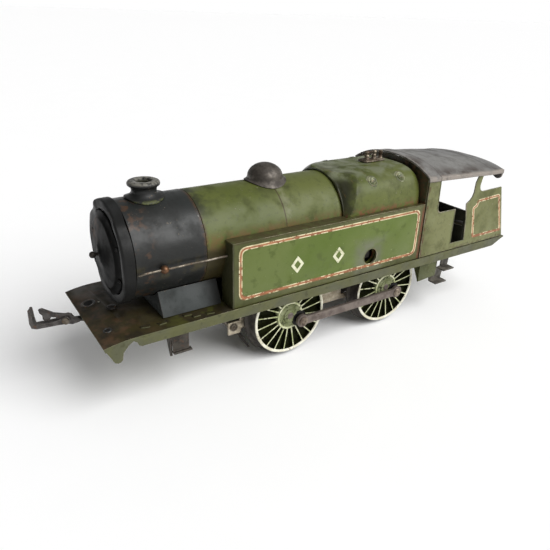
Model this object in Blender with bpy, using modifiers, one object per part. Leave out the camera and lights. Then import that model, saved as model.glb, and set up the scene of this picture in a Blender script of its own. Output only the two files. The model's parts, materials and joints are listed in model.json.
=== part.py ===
"""Gauge 0 clockwork tank locomotive in tinplate, with its spring motor, wheels and rods.

Lengths are in millimetres in this file and are turned into metres by MM.
X runs towards the bunker and is counted from the front axle, Y runs towards the
right-hand side of the engine, and Z is up from the surface that the flanges stand on.
The whole engine hangs on one empty, which brings the middle of its box over the origin.
"""

import math

import bmesh
import bpy
from mathutils import Matrix, Vector

MM = 0.001
GAP = 0.3  # clearance between neighbouring pieces
SHEET = 0.8  # tinplate

# Running gear
WHEEL_SIDES = 32
FLANGE_R = 20.0
AXLE_Z = FLANGE_R * math.cos(math.pi / WHEEL_SIDES)
WHEELBASE = 57.2
TREAD_R = 18.2
BACK_TO_BACK = 28.0
WHEEL_WIDTH = 6.9
WHEEL_FACE = BACK_TO_BACK / 2 + WHEEL_WIDTH
AXLE_R = 1.6
HUB_R = 6.8
RIM_IN_R = 16.2
WEB_DEPTH = 2.3
CRANK_THROW = 5.6
LEFT_CRANK = -2.5 * 360 / WHEEL_SIDES  # above the horizontal, towards the bunker, with a flat facet lowest
RIGHT_CRANK = LEFT_CRANK + 90
CRANKPIN_R = 1.1
ROD_IN = 22.4
ROD_THICK = 1.5
ROD_HEIGHT = 3.8
ROD_BOSS_R = 3.0

# Footplate
DECK_Z = 33.7
HALF_WIDTH = 25.8
VALANCE_Z = 29.4
DECK_REAR = 138.1
DECK_BEND = -71.5
DECK_FRONT = -83.5
DECK_FRONT_Z = 32.2

# Boiler
BOILER_Z = 57.5
BOILER_R = 19.45
BARREL_SIDES = 40
FRONT_RING = -71.9
RING_BACK = -67.5
RING_R = 20.2
SMOKEBOX_END = -39.3
BARREL_END = 31.0
DOOR_R = 16.2
DOOR_BULGE = 3.0
CHIMNEY_X = -55.3
DOME_X = -1.7
DOME_R = 7.6
DOME_RISE = 5.9
DOME_TOP = 84.0
FIREBOX_HALF = 22.5
FIREBOX_TOP = 20.6  # above the boiler's axis
FIREBOX_SQUARENESS = 3.4  # 2 makes a round section, and more a squarer one
FIREBOX_FRONT = 26.5
SHOULDER_PRESS = 9.0
FIREBOX_REAR = 72.2
WASHOUTS_X = (43.4, 60.2)
WASHOUT_ANGLE = 47.0  # from the top
VALVES_X = 58.6
VALVE_BASE = (6.5, 3.0)
SADDLE_FRONT = -58.0
SADDLE_REAR = -33.0
RAIL_Z = 55.5
RAIL_Y = 21.3
RAIL_KNOB_X = -57.4

# Side tanks
TANK_FRONT = -31.4
TANK_REAR = 72.0
TANK_OUT = 25.3
TANK_TOP = 61.6

# Cab and bunker
CAB_FRONT = 72.6
CAB_OUT = 25.6
EAVE_FRONT_Z = 74.0
EAVE_REAR_Z = 71.7
ARCH_FRONT = 7.0
ARCH_REAR = 3.4
ARCH_FULLNESS = 2.5
ROOF_FRONT = 71.6
ROOF_REAR = 126.3
ROOF_HALF = 26.2
ROOF_LIP = 1.9
BULKHEAD_X = 104.0
SILL_Z = 55.7
DOOR_FLOOR_Z = 37.4

# Spring motor, whose gears have a module of 0.75
PLATE_IN = 11.6
PLATE_OUT = 12.5
MODULE = 0.75
ARBOR_X = 40.1
ARBOR_Z = 41.6
ARBOR_R = 2.0
SHAFT_R = 1.0
GREAT_TEETH = 38
PINION_TEETH = 12
WHEEL_TEETH = 30
AXLE_TEETH = 14
SPRING_TURNS = 5.5
SPRING_IN = 3.0
SPRING_OUT = 12.0
KEY_HOLE_R = 3.75
KEY_SQUARE = 3.0
ARBOR_END = 22.8
LEVER_Y = 7.6
LEVER_Z = 43.0

# Couplings: rivet, resting direction in degrees and the pin of the drop link ahead of the rivet
COUPLINGS = {"front": (-72.0, -27.0), "rear": (126.6, 180.0)}
COUPLING_Z = 30.0
LINK_REACH = -17.6
LINK_Z = 29.5
LINK_TIP = 31.6
LINK_HALF_WIDTH = 1.7

# Foremost and rearmost points, for the middle of the box
SWING = math.radians(abs(COUPLINGS["front"][1]))
X_FRONT = COUPLINGS["front"][0] - LINK_TIP * math.cos(SWING) - LINK_HALF_WIDTH * math.sin(SWING)
X_REAR = COUPLINGS["rear"][0] + LINK_TIP

MATERIALS = {
    "body_green": ((0.17, 0.22, 0.09), 0.45, 0.0),
    "smokebox_black": ((0.03, 0.03, 0.032), 0.4, 0.0),
    "roof_brown": ((0.10, 0.09, 0.085), 0.4, 0.0),
    "dome_bronze": ((0.14, 0.11, 0.09), 0.4, 0.3),
    "valve_brass": ((0.45, 0.30, 0.16), 0.4, 0.9),
    "rail_steel": ((0.35, 0.33, 0.30), 0.4, 0.9),
    "wheel_green": ((0.14, 0.17, 0.08), 0.5, 0.0),
    "motor_nickel": ((0.55, 0.52, 0.47), 0.35, 0.9),
    "gear_brass": ((0.60, 0.42, 0.18), 0.35, 1.0),
    "spring_steel": ((0.20, 0.21, 0.25), 0.35, 1.0),
    "rod_steel": ((0.30, 0.28, 0.28), 0.45, 0.9),
    "coupling_black": ((0.06, 0.05, 0.05), 0.5, 0.5),
}


# ---------------------------------------------------------------- helpers


def clear_scene():
    for obj in list(bpy.data.objects):
        bpy.data.objects.remove(obj, do_unlink=True)


def make_collection(name):
    collection = bpy.data.collections.new(name)
    bpy.context.scene.collection.children.link(collection)
    return collection


clear_scene()
PARTS = make_collection("tank_locomotive")
CUTTERS = make_collection("cutters")
FRAME = bpy.data.objects.new("locomotive_frame", None)
FRAME.location = (-(X_FRONT + X_REAR) / 2 * MM, 0, 0)
PARTS.objects.link(FRAME)


def material(name):
    found = bpy.data.materials.get(name)
    if found:
        return found
    colour, roughness, metallic = MATERIALS[name]
    made = bpy.data.materials.new(name)
    made.use_nodes = True
    shader = made.node_tree.nodes["Principled BSDF"]
    shader.inputs["Base Color"].default_value = (*colour, 1)
    shader.inputs["Roughness"].default_value = roughness
    shader.inputs["Metallic"].default_value = metallic
    made.diffuse_color = (*colour, 1)
    return made


def place(name, data, slot, at=(0, 0, 0), turn=(0, 0, 0)):
    """A part of the engine, or a cutter when slot is None; turn is in degrees."""
    obj = bpy.data.objects.new(name, data)
    obj.location = Vector(at) * MM
    obj.rotation_euler = [math.radians(a) for a in turn]
    obj.parent = FRAME
    if slot is None:
        CUTTERS.objects.link(obj)
        obj.hide_render = True
        obj.display_type = "WIRE"
    else:
        PARTS.objects.link(obj)
        data.materials.append(material(slot))
    return obj


def mesh_of(name, bm):
    mesh = bpy.data.meshes.new(name)
    bmesh.ops.recalc_face_normals(bm, faces=bm.faces)
    bm.to_mesh(mesh)
    bm.free()
    return mesh


def box(name, low, high, slot=None):
    """A block between two corners, in the engine's axes."""
    low, high = Vector(low), Vector(high)
    bm = bmesh.new()
    bmesh.ops.create_cube(bm, size=1)
    bmesh.ops.scale(bm, vec=(high - low) * MM, verts=bm.verts)
    return place(name, mesh_of(name, bm), slot, at=(low + high) / 2)


def rod_between(name, radius, start, end, sides=16, slot=None):
    """A plain cylinder from start to end."""
    start, end = Vector(start), Vector(end)
    bm = bmesh.new()
    bmesh.ops.create_cone(bm, cap_ends=True, segments=sides, radius1=radius * MM,
                          radius2=radius * MM, depth=(end - start).length * MM)
    obj = place(name, mesh_of(name, bm), slot, at=(start + end) / 2)
    obj.rotation_mode = "QUATERNION"
    obj.rotation_quaternion = (end - start).to_track_quat("Z", "Y")
    return obj


def turned(name, profile, slot=None, at=(0, 0, 0), turn=(0, 0, 0), sides=32, ring=False):
    """A turned piece about its own Z. The profile gives (radius, height) down the outer side;
    ring closes it on itself, as for a tube."""
    bm = bmesh.new()
    points = [bm.verts.new((r * MM, 0, z * MM)) for r, z in profile]
    pairs = zip(points, points[1:] + points[:1]) if ring else zip(points, points[1:])
    for a, b in pairs:
        bm.edges.new((a, b))
    mesh = bpy.data.meshes.new(name)
    bm.to_mesh(mesh)
    bm.free()
    obj = place(name, mesh, slot, at, turn)
    screw = obj.modifiers.new("turn", "SCREW")
    screw.steps = screw.render_steps = sides
    screw.use_merge_vertices = True
    screw.merge_threshold = 0.00001
    screw.use_smooth_shade = False
    return obj


FORWARD = (0, -90, 0)  # a turned piece whose own Z points to the front of the engine
TO_SIDE = {-1: (90, 0, 0), 1: (-90, 0, 0)}  # and to the left or right side


def sheet(name, outlines, plane, near, far, slot=None, origin=(0, 0)):
    """A flat plate cut to closed outlines, the later ones being holes. plane is XZ, XY or YZ,
    the axes that the outlines are drawn on, near and far are its two faces, and origin is the
    point that the outlines are measured from."""
    curve = bpy.data.curves.new(name, "CURVE")
    curve.dimensions = "2D"
    curve.fill_mode = "BOTH"
    curve.extrude = abs(far - near) / 2 * MM
    for outline in outlines:
        spline = curve.splines.new("POLY")
        spline.points.add(len(outline) - 1)
        for point, (u, v) in zip(spline.points, outline):
            point.co = (u * MM, v * MM, 0, 1)
        spline.use_cyclic_u = True
    middle = (near + far) / 2
    turn = {"XZ": (90, 0, 0), "XY": (0, 0, 0), "YZ": (90, 0, 90)}[plane]
    u0, v0 = origin
    at = {"XZ": (u0, middle, v0), "XY": (u0, v0, middle), "YZ": (middle, u0, v0)}[plane]
    flat = place(name + "_outline", curve, None, at, turn)
    bpy.context.view_layer.update()
    graph = bpy.context.evaluated_depsgraph_get()
    mesh = bpy.data.meshes.new_from_object(flat.evaluated_get(graph))
    bm = bmesh.new()
    bm.from_mesh(mesh)
    bmesh.ops.remove_doubles(bm, verts=bm.verts, dist=0.000002)
    bmesh.ops.recalc_face_normals(bm, faces=bm.faces)
    bm.to_mesh(mesh)
    bm.free()
    mesh.materials.clear()
    obj = place(name, mesh, slot, at, turn)
    bpy.data.objects.remove(flat)
    bpy.data.curves.remove(curve)
    return obj


def combine(obj, operation, *others):
    for other in others:
        boolean = obj.modifiers.new(other.name, "BOOLEAN")
        boolean.operation = operation
        boolean.object = other
    return obj


def cut(obj, *cutters):
    return combine(obj, "DIFFERENCE", *cutters)


def join(obj, *pieces):
    return combine(obj, "UNION", *pieces)


def circle(x, z, radius, sides=14):
    return [(x + radius * math.cos(2 * math.pi * i / sides),
             z + radius * math.sin(2 * math.pi * i / sides)) for i in range(sides)]


def arc(x, z, radius, start, end, steps):
    """Points on an arc, with angles in degrees."""
    angles = [math.radians(start + (end - start) * i / steps) for i in range(steps + 1)]
    return [(x + radius * math.cos(a), z + radius * math.sin(a)) for a in angles]


def crank(angle):
    """Where a crankpin stands from its axle."""
    a = math.radians(angle)
    return CRANK_THROW * math.cos(a), CRANK_THROW * math.sin(a)


SIDES = {"left": (-1, LEFT_CRANK), "right": (1, RIGHT_CRANK)}


# ---------------------------------------------------------------- footplate and body


def footplate():
    """Deck with its dropped front end, wheel and motor openings, and both valances."""
    drop = DECK_Z - DECK_FRONT_Z
    run = DECK_BEND - DECK_FRONT
    bend = [(DECK_BEND - run * t, DECK_Z - drop * t * t) for t in (0, 0.35, 0.7, 1)]
    lip = [(DECK_FRONT + 0.5, DECK_FRONT_Z - 1.6), (DECK_FRONT + 1.3, DECK_FRONT_Z - 1.6)]
    under = [(x + (0.8 if x == DECK_FRONT else 0), z - SHEET) for x, z in reversed(bend)]
    profile = [(DECK_REAR, DECK_Z), *bend, *lip, *under, (DECK_REAR, DECK_Z - SHEET)]
    deck = sheet("footplate", [profile], "XZ", -HALF_WIDTH, HALF_WIDTH, "body_green")
    for axle in (0, WHEELBASE):
        for side in (-1, 1):
            inner, outer = sorted((side * 13.3, side * 21.7))
            cut(deck, box(f"wheel_slot_{axle:.0f}_{side}", (axle - 16.0, inner, 25),
                          (axle + 16.0, outer, 40)))
    cut(deck, box("motor_slot", (24, -13.2, 25), (72, 13.2, 40)))
    for end, (x, _) in COUPLINGS.items():
        cut(deck, rod_between(f"{end}_rivet_hole", 1.3, (x, 0, 28), (x, 0, 40)))
    side_view = [
        (DECK_REAR, DECK_Z), (DECK_BEND, DECK_Z), *bend[1:],
        (-81.6, 28.6), (-80.6, 26.6), *arc(-78.7, 26.8, 1.9, 200, 330, 4),
        (-76.6, 28.6), (-74.6, 31.0), (-72.6, 32.4), (-71.2, 31.4), (-70.6, 29.9), (-69.6, VALANCE_Z),
        (DECK_REAR - 8.6, VALANCE_Z), (DECK_REAR - 0.6, DECK_Z - SHEET),
    ]
    for side in (-1, 1):
        near, far = sorted((side * HALF_WIDTH, side * (HALF_WIDTH - SHEET)))
        join(deck, sheet(f"valance_{side}", [side_view], "XZ", near, far))
    return deck


def smokebox_saddle():
    """Folded cover under the smokebox: a front wall and two sloping sides."""
    low, high = DECK_Z + GAP, BOILER_Z - 12
    outer = [(-18.6, low), (18.6, low), (12.9, high), (-12.9, high)]
    inner = [(-17.6, low - 2), (17.6, low - 2), (12.0, high + 2), (-12.0, high + 2)]
    saddle = sheet("smokebox_saddle", [outer], "YZ", SADDLE_FRONT, SADDLE_REAR, "smokebox_black")
    cut(saddle,
        sheet("saddle_hollow", [inner], "YZ", SADDLE_FRONT + SHEET, SADDLE_REAR + 5),
        rod_between("saddle_seat", BOILER_R + 0.1 + GAP, (-90, 0, BOILER_Z), (0, 0, BOILER_Z), 64))
    return saddle


def tube(name, radius, front, rear, slot, wall=0.7):
    profile = [(radius, -front), (radius, -rear), (radius - wall, -rear), (radius - wall, -front)]
    return turned(name, profile, slot, (0, 0, BOILER_Z), FORWARD, BARREL_SIDES, ring=True)


def smokebox():
    shell = tube("smokebox", BOILER_R + 0.1, RING_BACK + GAP, SMOKEBOX_END - 0.1, "smokebox_black")
    return cut(shell, rod_between("flue", 3.3, (CHIMNEY_X, 0, 70), (CHIMNEY_X, 0, 90)))


def smokebox_front():
    """Ring pressed over the end of the smokebox, with a rolled front edge."""
    front, back = -FRONT_RING, -RING_BACK
    profile = [(DOOR_R + GAP, front - 0.2), (RING_R - 1.0, front), (RING_R - 0.3, front - 0.3),
               (RING_R, front - 1.0), (RING_R, back), (RING_R - 1.2, back),
               (RING_R - 1.2, front - 0.9), (DOOR_R + GAP, front - 0.9)]
    return turned("smokebox_front", profile, "smokebox_black", (0, 0, BOILER_Z), FORWARD,
                  BARREL_SIDES, ring=True)


def smokebox_door():
    """Dished door with a flat middle for its knob."""
    front = -FRONT_RING
    outer = [(0, front + DOOR_BULGE), (3.5, front + DOOR_BULGE - 0.1), (8.0, front + DOOR_BULGE - 0.6),
             (12.5, front + DOOR_BULGE - 1.7), (15.2, front + 0.4), (DOOR_R, front - 0.1)]
    inner = [(DOOR_R, front - 0.9), (15.0, front - 0.4), (8.0, front + DOOR_BULGE - 1.4),
             (0, front + DOOR_BULGE - 0.8)]
    door = turned("smokebox_door", outer + inner, "smokebox_black", (0, 0, BOILER_Z), FORWARD, 36)
    return cut(door, rod_between("knob_hole", 0.9, (FRONT_RING - 8, 0, BOILER_Z),
                                 (FRONT_RING + 8, 0, BOILER_Z)))


def ball_profile(radius, centre, stem_radius, stem_end, steps=5):
    """A ball on a stem that runs down from it."""
    end = 180 - math.degrees(math.asin(stem_radius / radius))
    points = [(radius * math.sin(math.radians(end * i / steps)),
               centre + radius * math.cos(math.radians(end * i / steps))) for i in range(steps + 1)]
    points[0] = (0, centre + radius)
    return points + [(stem_radius, stem_end), (0, stem_end)]


def door_knob():
    tip = -FRONT_RING + DOOR_BULGE + 1.9
    return turned("door_knob", ball_profile(1.3, tip, 0.6, tip - 4.6), "rail_steel",
                  (0, 0, BOILER_Z), FORWARD, 16)


def on_boiler(name, gap=GAP):
    """Cutter that shapes the foot of a fitting to the boiler's top."""
    return rod_between(name, BOILER_R + 0.1 + gap, (-100, 0, BOILER_Z), (60, 0, BOILER_Z), 64)


def chimney():
    top = 83.3
    profile = [(3.0, top), (4.6, top), (5.9, top - 0.5), (6.2, top - 1.2), (5.9, top - 2.0),
               (5.0, top - 2.6), (4.8, top - 3.8), (5.1, top - 5.0), (6.2, top - 6.3),
               (7.6, top - 7.2), (7.6, top - 9.5), (3.0, top - 9.5)]
    stack = turned("chimney", profile, "smokebox_black", (CHIMNEY_X, 0, 0), sides=24, ring=True)
    return cut(stack, on_boiler("chimney_seat"))


def boiler_barrel():
    """Green barrel, cut away underneath where the motor stands."""
    barrel = tube("boiler_barrel", BOILER_R, SMOKEBOX_END + 0.1, BARREL_END, "body_green")
    return cut(barrel, box("motor_clearance", (21, -13.4, 30), (40, 13.4, 62)))


def boiler_dome():
    """Low dome on a flared skirt."""
    middle = DOME_TOP - DOME_RISE
    cap = [(DOME_R * math.sin(math.radians(a)), middle + DOME_RISE * math.cos(math.radians(a)))
           for a in range(0, 91, 15)]
    cap[0] = (0, DOME_TOP)
    skirt = [(7.7, middle - 0.3), (8.2, middle - 0.7), (9.3, middle - 1.1), (9.3, middle - 6)]
    hollow = [(6.6, middle - 6), (6.6, middle), (4.8, middle + 3.2), (0, middle + 4.8)]
    dome = turned("boiler_dome", cap + skirt + hollow, "dome_bronze", (DOME_X, 0, 0), sides=24)
    return cut(dome, on_boiler("dome_seat"))


def smooth_step(t):
    t = min(1.0, max(0.0, t))
    return t * t * (3 - 2 * t)


def full_radius(angle):
    """Radius of the firebox's full section at an angle from its top: a nearly flat top, rounded
    shoulders and upright sides."""
    turn = math.radians(angle)
    across, up = abs(math.sin(turn)) / FIREBOX_HALF, abs(math.cos(turn)) / FIREBOX_TOP
    return (across ** FIREBOX_SQUARENESS + up ** FIREBOX_SQUARENESS) ** (-1 / FIREBOX_SQUARENESS)


def firebox_radius(x, angle):
    """Radius of the firebox at x, at an angle from its top. The front edge lies round the boiler,
    and from there the sheet rises to its full section, over a longer way at both shoulders."""
    pressed = math.sin(math.pi * min(1.0, max(0.0, (abs(angle) - 10) / 78)))
    full_at = FIREBOX_FRONT + 0.8 + SHOULDER_PRESS * pressed
    edge = BOILER_R + 1.15
    start = smooth_step((x - FIREBOX_FRONT) / (full_at - FIREBOX_FRONT))
    tuck = 2.0 * (1 - min(1.0, (FIREBOX_REAR - x) / 4.5)) ** 2
    return edge + (full_radius(angle) - edge) * start - tuck


def firebox_section(x, steps=18):
    """Points of the firebox's section at x."""
    rise = [180 - 180 * i / steps for i in range(steps + 1)]
    top = []
    for a in rise:
        r = firebox_radius(x, 90 - a)
        top.append((x, r * math.cos(math.radians(a)), BOILER_Z + r * math.sin(math.radians(a))))
    side = firebox_radius(x, 90)
    return [(x, -side, DECK_Z + GAP), *top, (x, side, DECK_Z + GAP)]


def loft(name, rows, slot=None, closed=False):
    """Skin over rows of points; closed makes a solid of it."""
    bm = bmesh.new()
    lines = [[bm.verts.new(Vector(p) * MM) for p in row] for row in rows]
    for line, following in zip(lines, lines[1:]):
        for i in range(len(line) if closed else len(line) - 1):
            j = (i + 1) % len(line)
            bm.faces.new((line[i], line[j], following[j], following[i]))
    if closed:
        bm.faces.new(lines[0])
        bm.faces.new(lines[-1])
    return place(name, mesh_of(name, bm), slot)


def firebox():
    """Casing over the motor, open below, with two washout plugs pressed out on each shoulder."""
    front = [FIREBOX_FRONT + step for step in (0, 0.8, 2.6, 4.6, 6.8, 9.2)]
    rear = [FIREBOX_REAR - step for step in (4.5, 2.4, 1.0, 0)]
    casing = loft("firebox", [firebox_section(x) for x in front + rear], "body_green")
    solid = casing.modifiers.new("tinplate", "SOLIDIFY")
    solid.thickness = 0.7 * MM
    solid.offset = -1
    cut(casing, rod_between("arbor_opening", KEY_HOLE_R + 0.4, (ARBOR_X, -30, ARBOR_Z),
                            (ARBOR_X, -18, ARBOR_Z), 28))
    shoulder, lean = full_radius(WASHOUT_ANGLE) - 0.4, math.radians(WASHOUT_ANGLE)
    plug = [(0, 1.0), (0.9, 1.0), (1.0, 0.75), (1.6, 0.75), (1.8, 1.1), (2.3, 0.9), (2.4, -0.1), (0, -0.1)]
    for side in (-1, 1):
        for x in WASHOUTS_X:
            at = (x, side * shoulder * math.sin(lean), BOILER_Z + shoulder * math.cos(lean))
            join(casing, turned(f"washout_{side}_{x}", plug, None, at, (side * -WASHOUT_ANGLE, 0, 0), 12))
    return casing


def firebox_block(name, grow):
    """Solid form of the firebox, which trims the pieces around it."""
    top = []
    for angle in range(-90, 91, 10):
        r, turn = full_radius(angle) + grow, math.radians(angle)
        top.append((r * math.sin(turn), BOILER_Z + r * math.cos(turn)))
    section = [(-FIREBOX_HALF - grow, 30), *top, (FIREBOX_HALF + grow, 30)]
    rows = [[(x, y, z) for y, z in section] for x in (FIREBOX_FRONT - GAP, FIREBOX_REAR + 5)]
    return loft(name, rows, closed=True)


def safety_valves():
    """Cast base across the firebox top, with two valve columns, a whistle and the easing lever."""
    top = BOILER_Z + FIREBOX_TOP
    long, wide = VALVE_BASE
    base = sheet("safety_valves", [[(VALVES_X - long, -wide), (VALVES_X + long, -wide),
                 (VALVES_X + long, wide), (VALVES_X - long, wide)]], "XY", top + GAP, top + 1.2, "valve_brass")
    column = [(0, 4.3), (0.9, 4.3), (1.4, 3.9), (1.4, 3.1), (1.05, 2.7), (1.05, 1.2), (1.5, 0.4),
              (1.5, -0.5), (0, -0.5)]
    for i, x in enumerate((-3.8, 0.6)):
        join(base, turned(f"valve_{i}", column, None, (VALVES_X + x, -0.6, top + 1.1), sides=14))
    whistle = [(0, 3.9), (0.9, 3.9), (1.1, 3.6), (1.1, 1.2), (0.7, 0.8), (0.7, -0.5), (0, -0.5)]
    join(base, turned("whistle", whistle, None, (VALVES_X + 4.7, -0.6, top + 1.1), sides=12))
    return join(base, box("easing_lever", (VALVES_X - 3.6, -1.0, top + 4.3), (VALVES_X + 0.6, -0.2, top + 4.9)))


def handrail(side_name, side):
    """Wire rail from the smokebox to the tank, and the turned knob that carries it."""
    y = side * RAIL_Y
    rail = bpy.data.curves.new(f"handrail_{side_name}", "CURVE")
    rail.dimensions = "3D"
    rail.bevel_depth = 0.45 * MM
    rail.bevel_resolution = 2
    rail.use_fill_caps = True
    line = rail.splines.new("POLY")
    path = [(-66.6, side * 19.95, 53.6), (-66.2, side * 20.6, 54.3), (-65.2, y, RAIL_Z),
            (-55.0, y, RAIL_Z), (-43.0, y, RAIL_Z), (TANK_FRONT - GAP, y, RAIL_Z)]
    line.points.add(len(path) - 1)
    for point, place_at in zip(line.points, path):
        point.co = (*(Vector(place_at) * MM), 1)
    place(f"handrail_{side_name}", rail, "rail_steel")
    knob = turned(f"handrail_knob_{side_name}", ball_profile(1.4, 0, 0.7, -1.45), "valve_brass",
                  (RAIL_KNOB_X, y, RAIL_Z), TO_SIDE[side], 12)
    cut(knob, rod_between(f"rail_eye_{side}", 0.75, (RAIL_KNOB_X - 3, y, RAIL_Z),
                          (RAIL_KNOB_X + 3, y, RAIL_Z), 12))


def side_tank(side_name, side):
    """Folded side tank: outer side, top and front wall, open towards the wheels."""
    out, inside = side * TANK_OUT, side * 16.0
    tank = box(f"{side_name}_tank", (TANK_FRONT, min(out, inside), DECK_Z + GAP),
               (TANK_REAR, max(out, inside), TANK_TOP), "body_green")
    skin, open_to = side * (TANK_OUT - SHEET), side * 10.0
    cut(tank,
        box(f"tank_hollow_{side}", (TANK_FRONT + SHEET, min(skin, open_to), 20),
            (TANK_REAR + 5, max(skin, open_to), TANK_TOP - SHEET)),
        rod_between(f"tank_seat_{side}", BOILER_R + GAP, (-90, 0, BOILER_Z), (60, 0, BOILER_Z), 64),
        firebox_block(f"tank_to_firebox_{side}", GAP))
    if side < 0:
        cut(tank, rod_between("winding_hole", KEY_HOLE_R, (ARBOR_X, -30, ARBOR_Z),
                              (ARBOR_X, -20, ARBOR_Z), 28))
    return tank


# ---------------------------------------------------------------- cab and bunker


def roof_height(x, y):
    """Top of the roof, an arch that is lower at the back than at the front."""
    t = (x - ROOF_FRONT) / (ROOF_REAR - ROOF_FRONT)
    eave = EAVE_FRONT_Z + (EAVE_REAR_Z - EAVE_FRONT_Z) * t
    rise = ARCH_FRONT + (ARCH_REAR - ARCH_FRONT) * t
    return eave + rise * (1 - (abs(y) / ROOF_HALF) ** ARCH_FULLNESS)


def cab_roof():
    """Arched roof with a lip along both eaves and a deeper one across the back."""
    ys = [ROOF_HALF * k / 8 for k in range(-8, 9)]
    rows = []
    for x in (ROOF_FRONT, ROOF_REAR):
        left, right = [(x, s * (ROOF_HALF + 0.2), roof_height(x, ROOF_HALF) - ROOF_LIP) for s in (-1, 1)]
        rows.append([left, *[(x, y, roof_height(x, y)) for y in ys], right])
    roof = loft("cab_roof", rows, "roof_brown")
    solid = roof.modifiers.new("tinplate", "SOLIDIFY")
    solid.thickness = 0.7 * MM
    solid.offset = -1
    x = ROOF_REAR - 0.8
    above = [(y, roof_height(x, y) - 0.3) for y in ys]
    below = [(y, roof_height(x, y) - 3.6) for y in reversed(ys[1:-1])]
    corner = [*arc(ROOF_HALF - 3.0, roof_height(x, ROOF_HALF) - 2.2, 2.7, 0, -120, 4)]
    mirrored = [(-y, z) for y, z in reversed(corner)]
    join(roof, sheet("roof_back_lip", [above + corner + below[2:-2] + mirrored], "YZ", x, x + 0.7))
    return roof


def cab_side(side_name, side):
    """Cab side and bunker side in one sheet, with the window and the doorway open into each other."""
    outline = [
        (CAB_FRONT, DECK_Z + GAP), (DECK_REAR - 1.6, DECK_Z + GAP), (127.9, 62.6),
        (114.0, 62.3), *arc(113.4, 65.4, 3.1, 258, 180, 4), (110.9, 68.5), (111.6, 71.0),
        (108.2, 71.0), (106.6, 67.4), (106.4, 62.6), (105.6, 60.2), (104.2, 58.7), (101.9, 57.2),
        (103.6, 49.0), (104.7, DOOR_FLOOR_Z), (94.3, DOOR_FLOOR_Z), (93.9, SILL_Z),
        *arc(83.6, SILL_Z + 2.8, 2.8, 270, 180, 4), (80.3, 71.8), (CAB_FRONT, 71.9),
    ]
    near, far = sorted((side * CAB_OUT, side * (CAB_OUT - 0.7)))
    return sheet(f"{side_name}_cab_side", [outline], "XZ", near, far, "body_green")


def cab_front():
    """Front wall of the cab, with slots for the two control rods."""
    edge = CAB_OUT - 0.7 - GAP
    ys = [edge * (1 - k / 6) for k in range(13)]
    top = [(y, roof_height(CAB_FRONT, y) - 1.2) for y in ys]
    rods = [[(s * LEVER_Y - 1.2, LEVER_Z - 1.2), (s * LEVER_Y + 1.2, LEVER_Z - 1.2),
             (s * LEVER_Y + 1.2, LEVER_Z + 1.2), (s * LEVER_Y - 1.2, LEVER_Z + 1.2)] for s in (-1, 1)]
    return sheet("cab_front", [[(-edge, DECK_Z + GAP), (edge, DECK_Z + GAP), *top], *rods], "YZ",
                 CAB_FRONT, CAB_FRONT + SHEET, "body_green")


def bunker_bulkhead():
    """Wall between cab and bunker, with two coal openings."""
    edge = CAB_OUT - 0.7 - GAP
    wall = [(-edge, DECK_Z + GAP), (edge, DECK_Z + GAP), (edge, 52.8), (-edge, 52.8)]
    holes = [[(s * 23.6, 44.6), (s * 11.0, 43.4), (s * 11.0, 44.4), (s * 23.6, 47.4)] for s in (-1, 1)]
    return sheet("bunker_bulkhead", [wall, *holes], "YZ", BULKHEAD_X, BULKHEAD_X + 0.7, "smokebox_black")


def bunker_back():
    """Low sloping tailboard of the bunker."""
    edge = CAB_OUT - 0.7 - GAP
    slope = [(DECK_REAR - 2.5, DECK_Z + GAP), (DECK_REAR - 1.8, DECK_Z + GAP), (133.9, 40.8), (133.2, 40.8)]
    return sheet("bunker_back", [slope], "XZ", -edge, edge, "body_green")


# ---------------------------------------------------------------- steps and coupling


def front_step(side_name, side):
    """Step bracket ahead of the wheels: hanger, tread and a pointed guard iron."""
    top = DECK_Z - SHEET - GAP
    outer, inner = side * 24.2, side * 23.5
    step = sheet(f"{side_name}_front_step", [[(-57.6, top), (-50.2, top), (-50.4, 21.6), (-57.0, 21.6)]],
                 "XZ", min(outer, inner), max(outer, inner), "coupling_black")
    tread = side * 25.6
    join(step,
         box(f"front_tread_{side}", (-57.2, min(tread, inner), 21.2), (-49.6, max(tread, inner), 21.9)),
         sheet(f"guard_iron_{side}", [[(side * 23.6, top), (side * 18.4, top), (side * 20.6, 24.0),
               (side * 22.6, 19.3), (side * 23.6, 19.8)]], "YZ", -57.9, -57.2))
    return step


def rear_step(side_name, side):
    """Panel below the cab with its tapered return, and the two treads behind it."""
    top = DECK_Z - SHEET - GAP
    outer, inner = side * 24.7, side * 24.0
    panel = sheet(f"{side_name}_rear_step", [[(75.4, top), (88.0, top), (87.4, 20.9), (75.4, 20.1)]],
                  "XZ", min(outer, inner), max(outer, inner), "body_green")
    back, back_in = side * 21.2, side * 20.5
    hanger = [[(87.2, top), (101.4, top), (100.6, 22.4), (97.6, 22.0), (96.4, 15.6), (88.4, 15.6),
               (87.2, 21.0)],
              [(90.6, 22.4), (95.4, 23.0), (95.4, 27.4), (90.6, 27.0)]]
    join(panel,
         sheet(f"step_return_{side}", [[(side * 24.1, top), (side * 17.6, top), (side * 24.1, 20.1)]],
               "YZ", 75.5, 76.1),
         sheet(f"step_hanger_{side}", hanger, "XZ", min(back, back_in), max(back, back_in)),
         box(f"step_web_{side}", (87.2, min(outer, back_in), 21.2), (87.9, max(outer, back_in), top)))
    tread = side * 25.4
    for i, (x0, x1, z) in enumerate(((93.2, 101.0, 22.0), (88.4, 96.4, 15.6))):
        low, high = (x0, min(tread, back_in), z), (x1, max(tread, back_in), z + 0.7)
        join(panel, box(f"rear_tread_{side}_{i}", low, high))
    return panel


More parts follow.
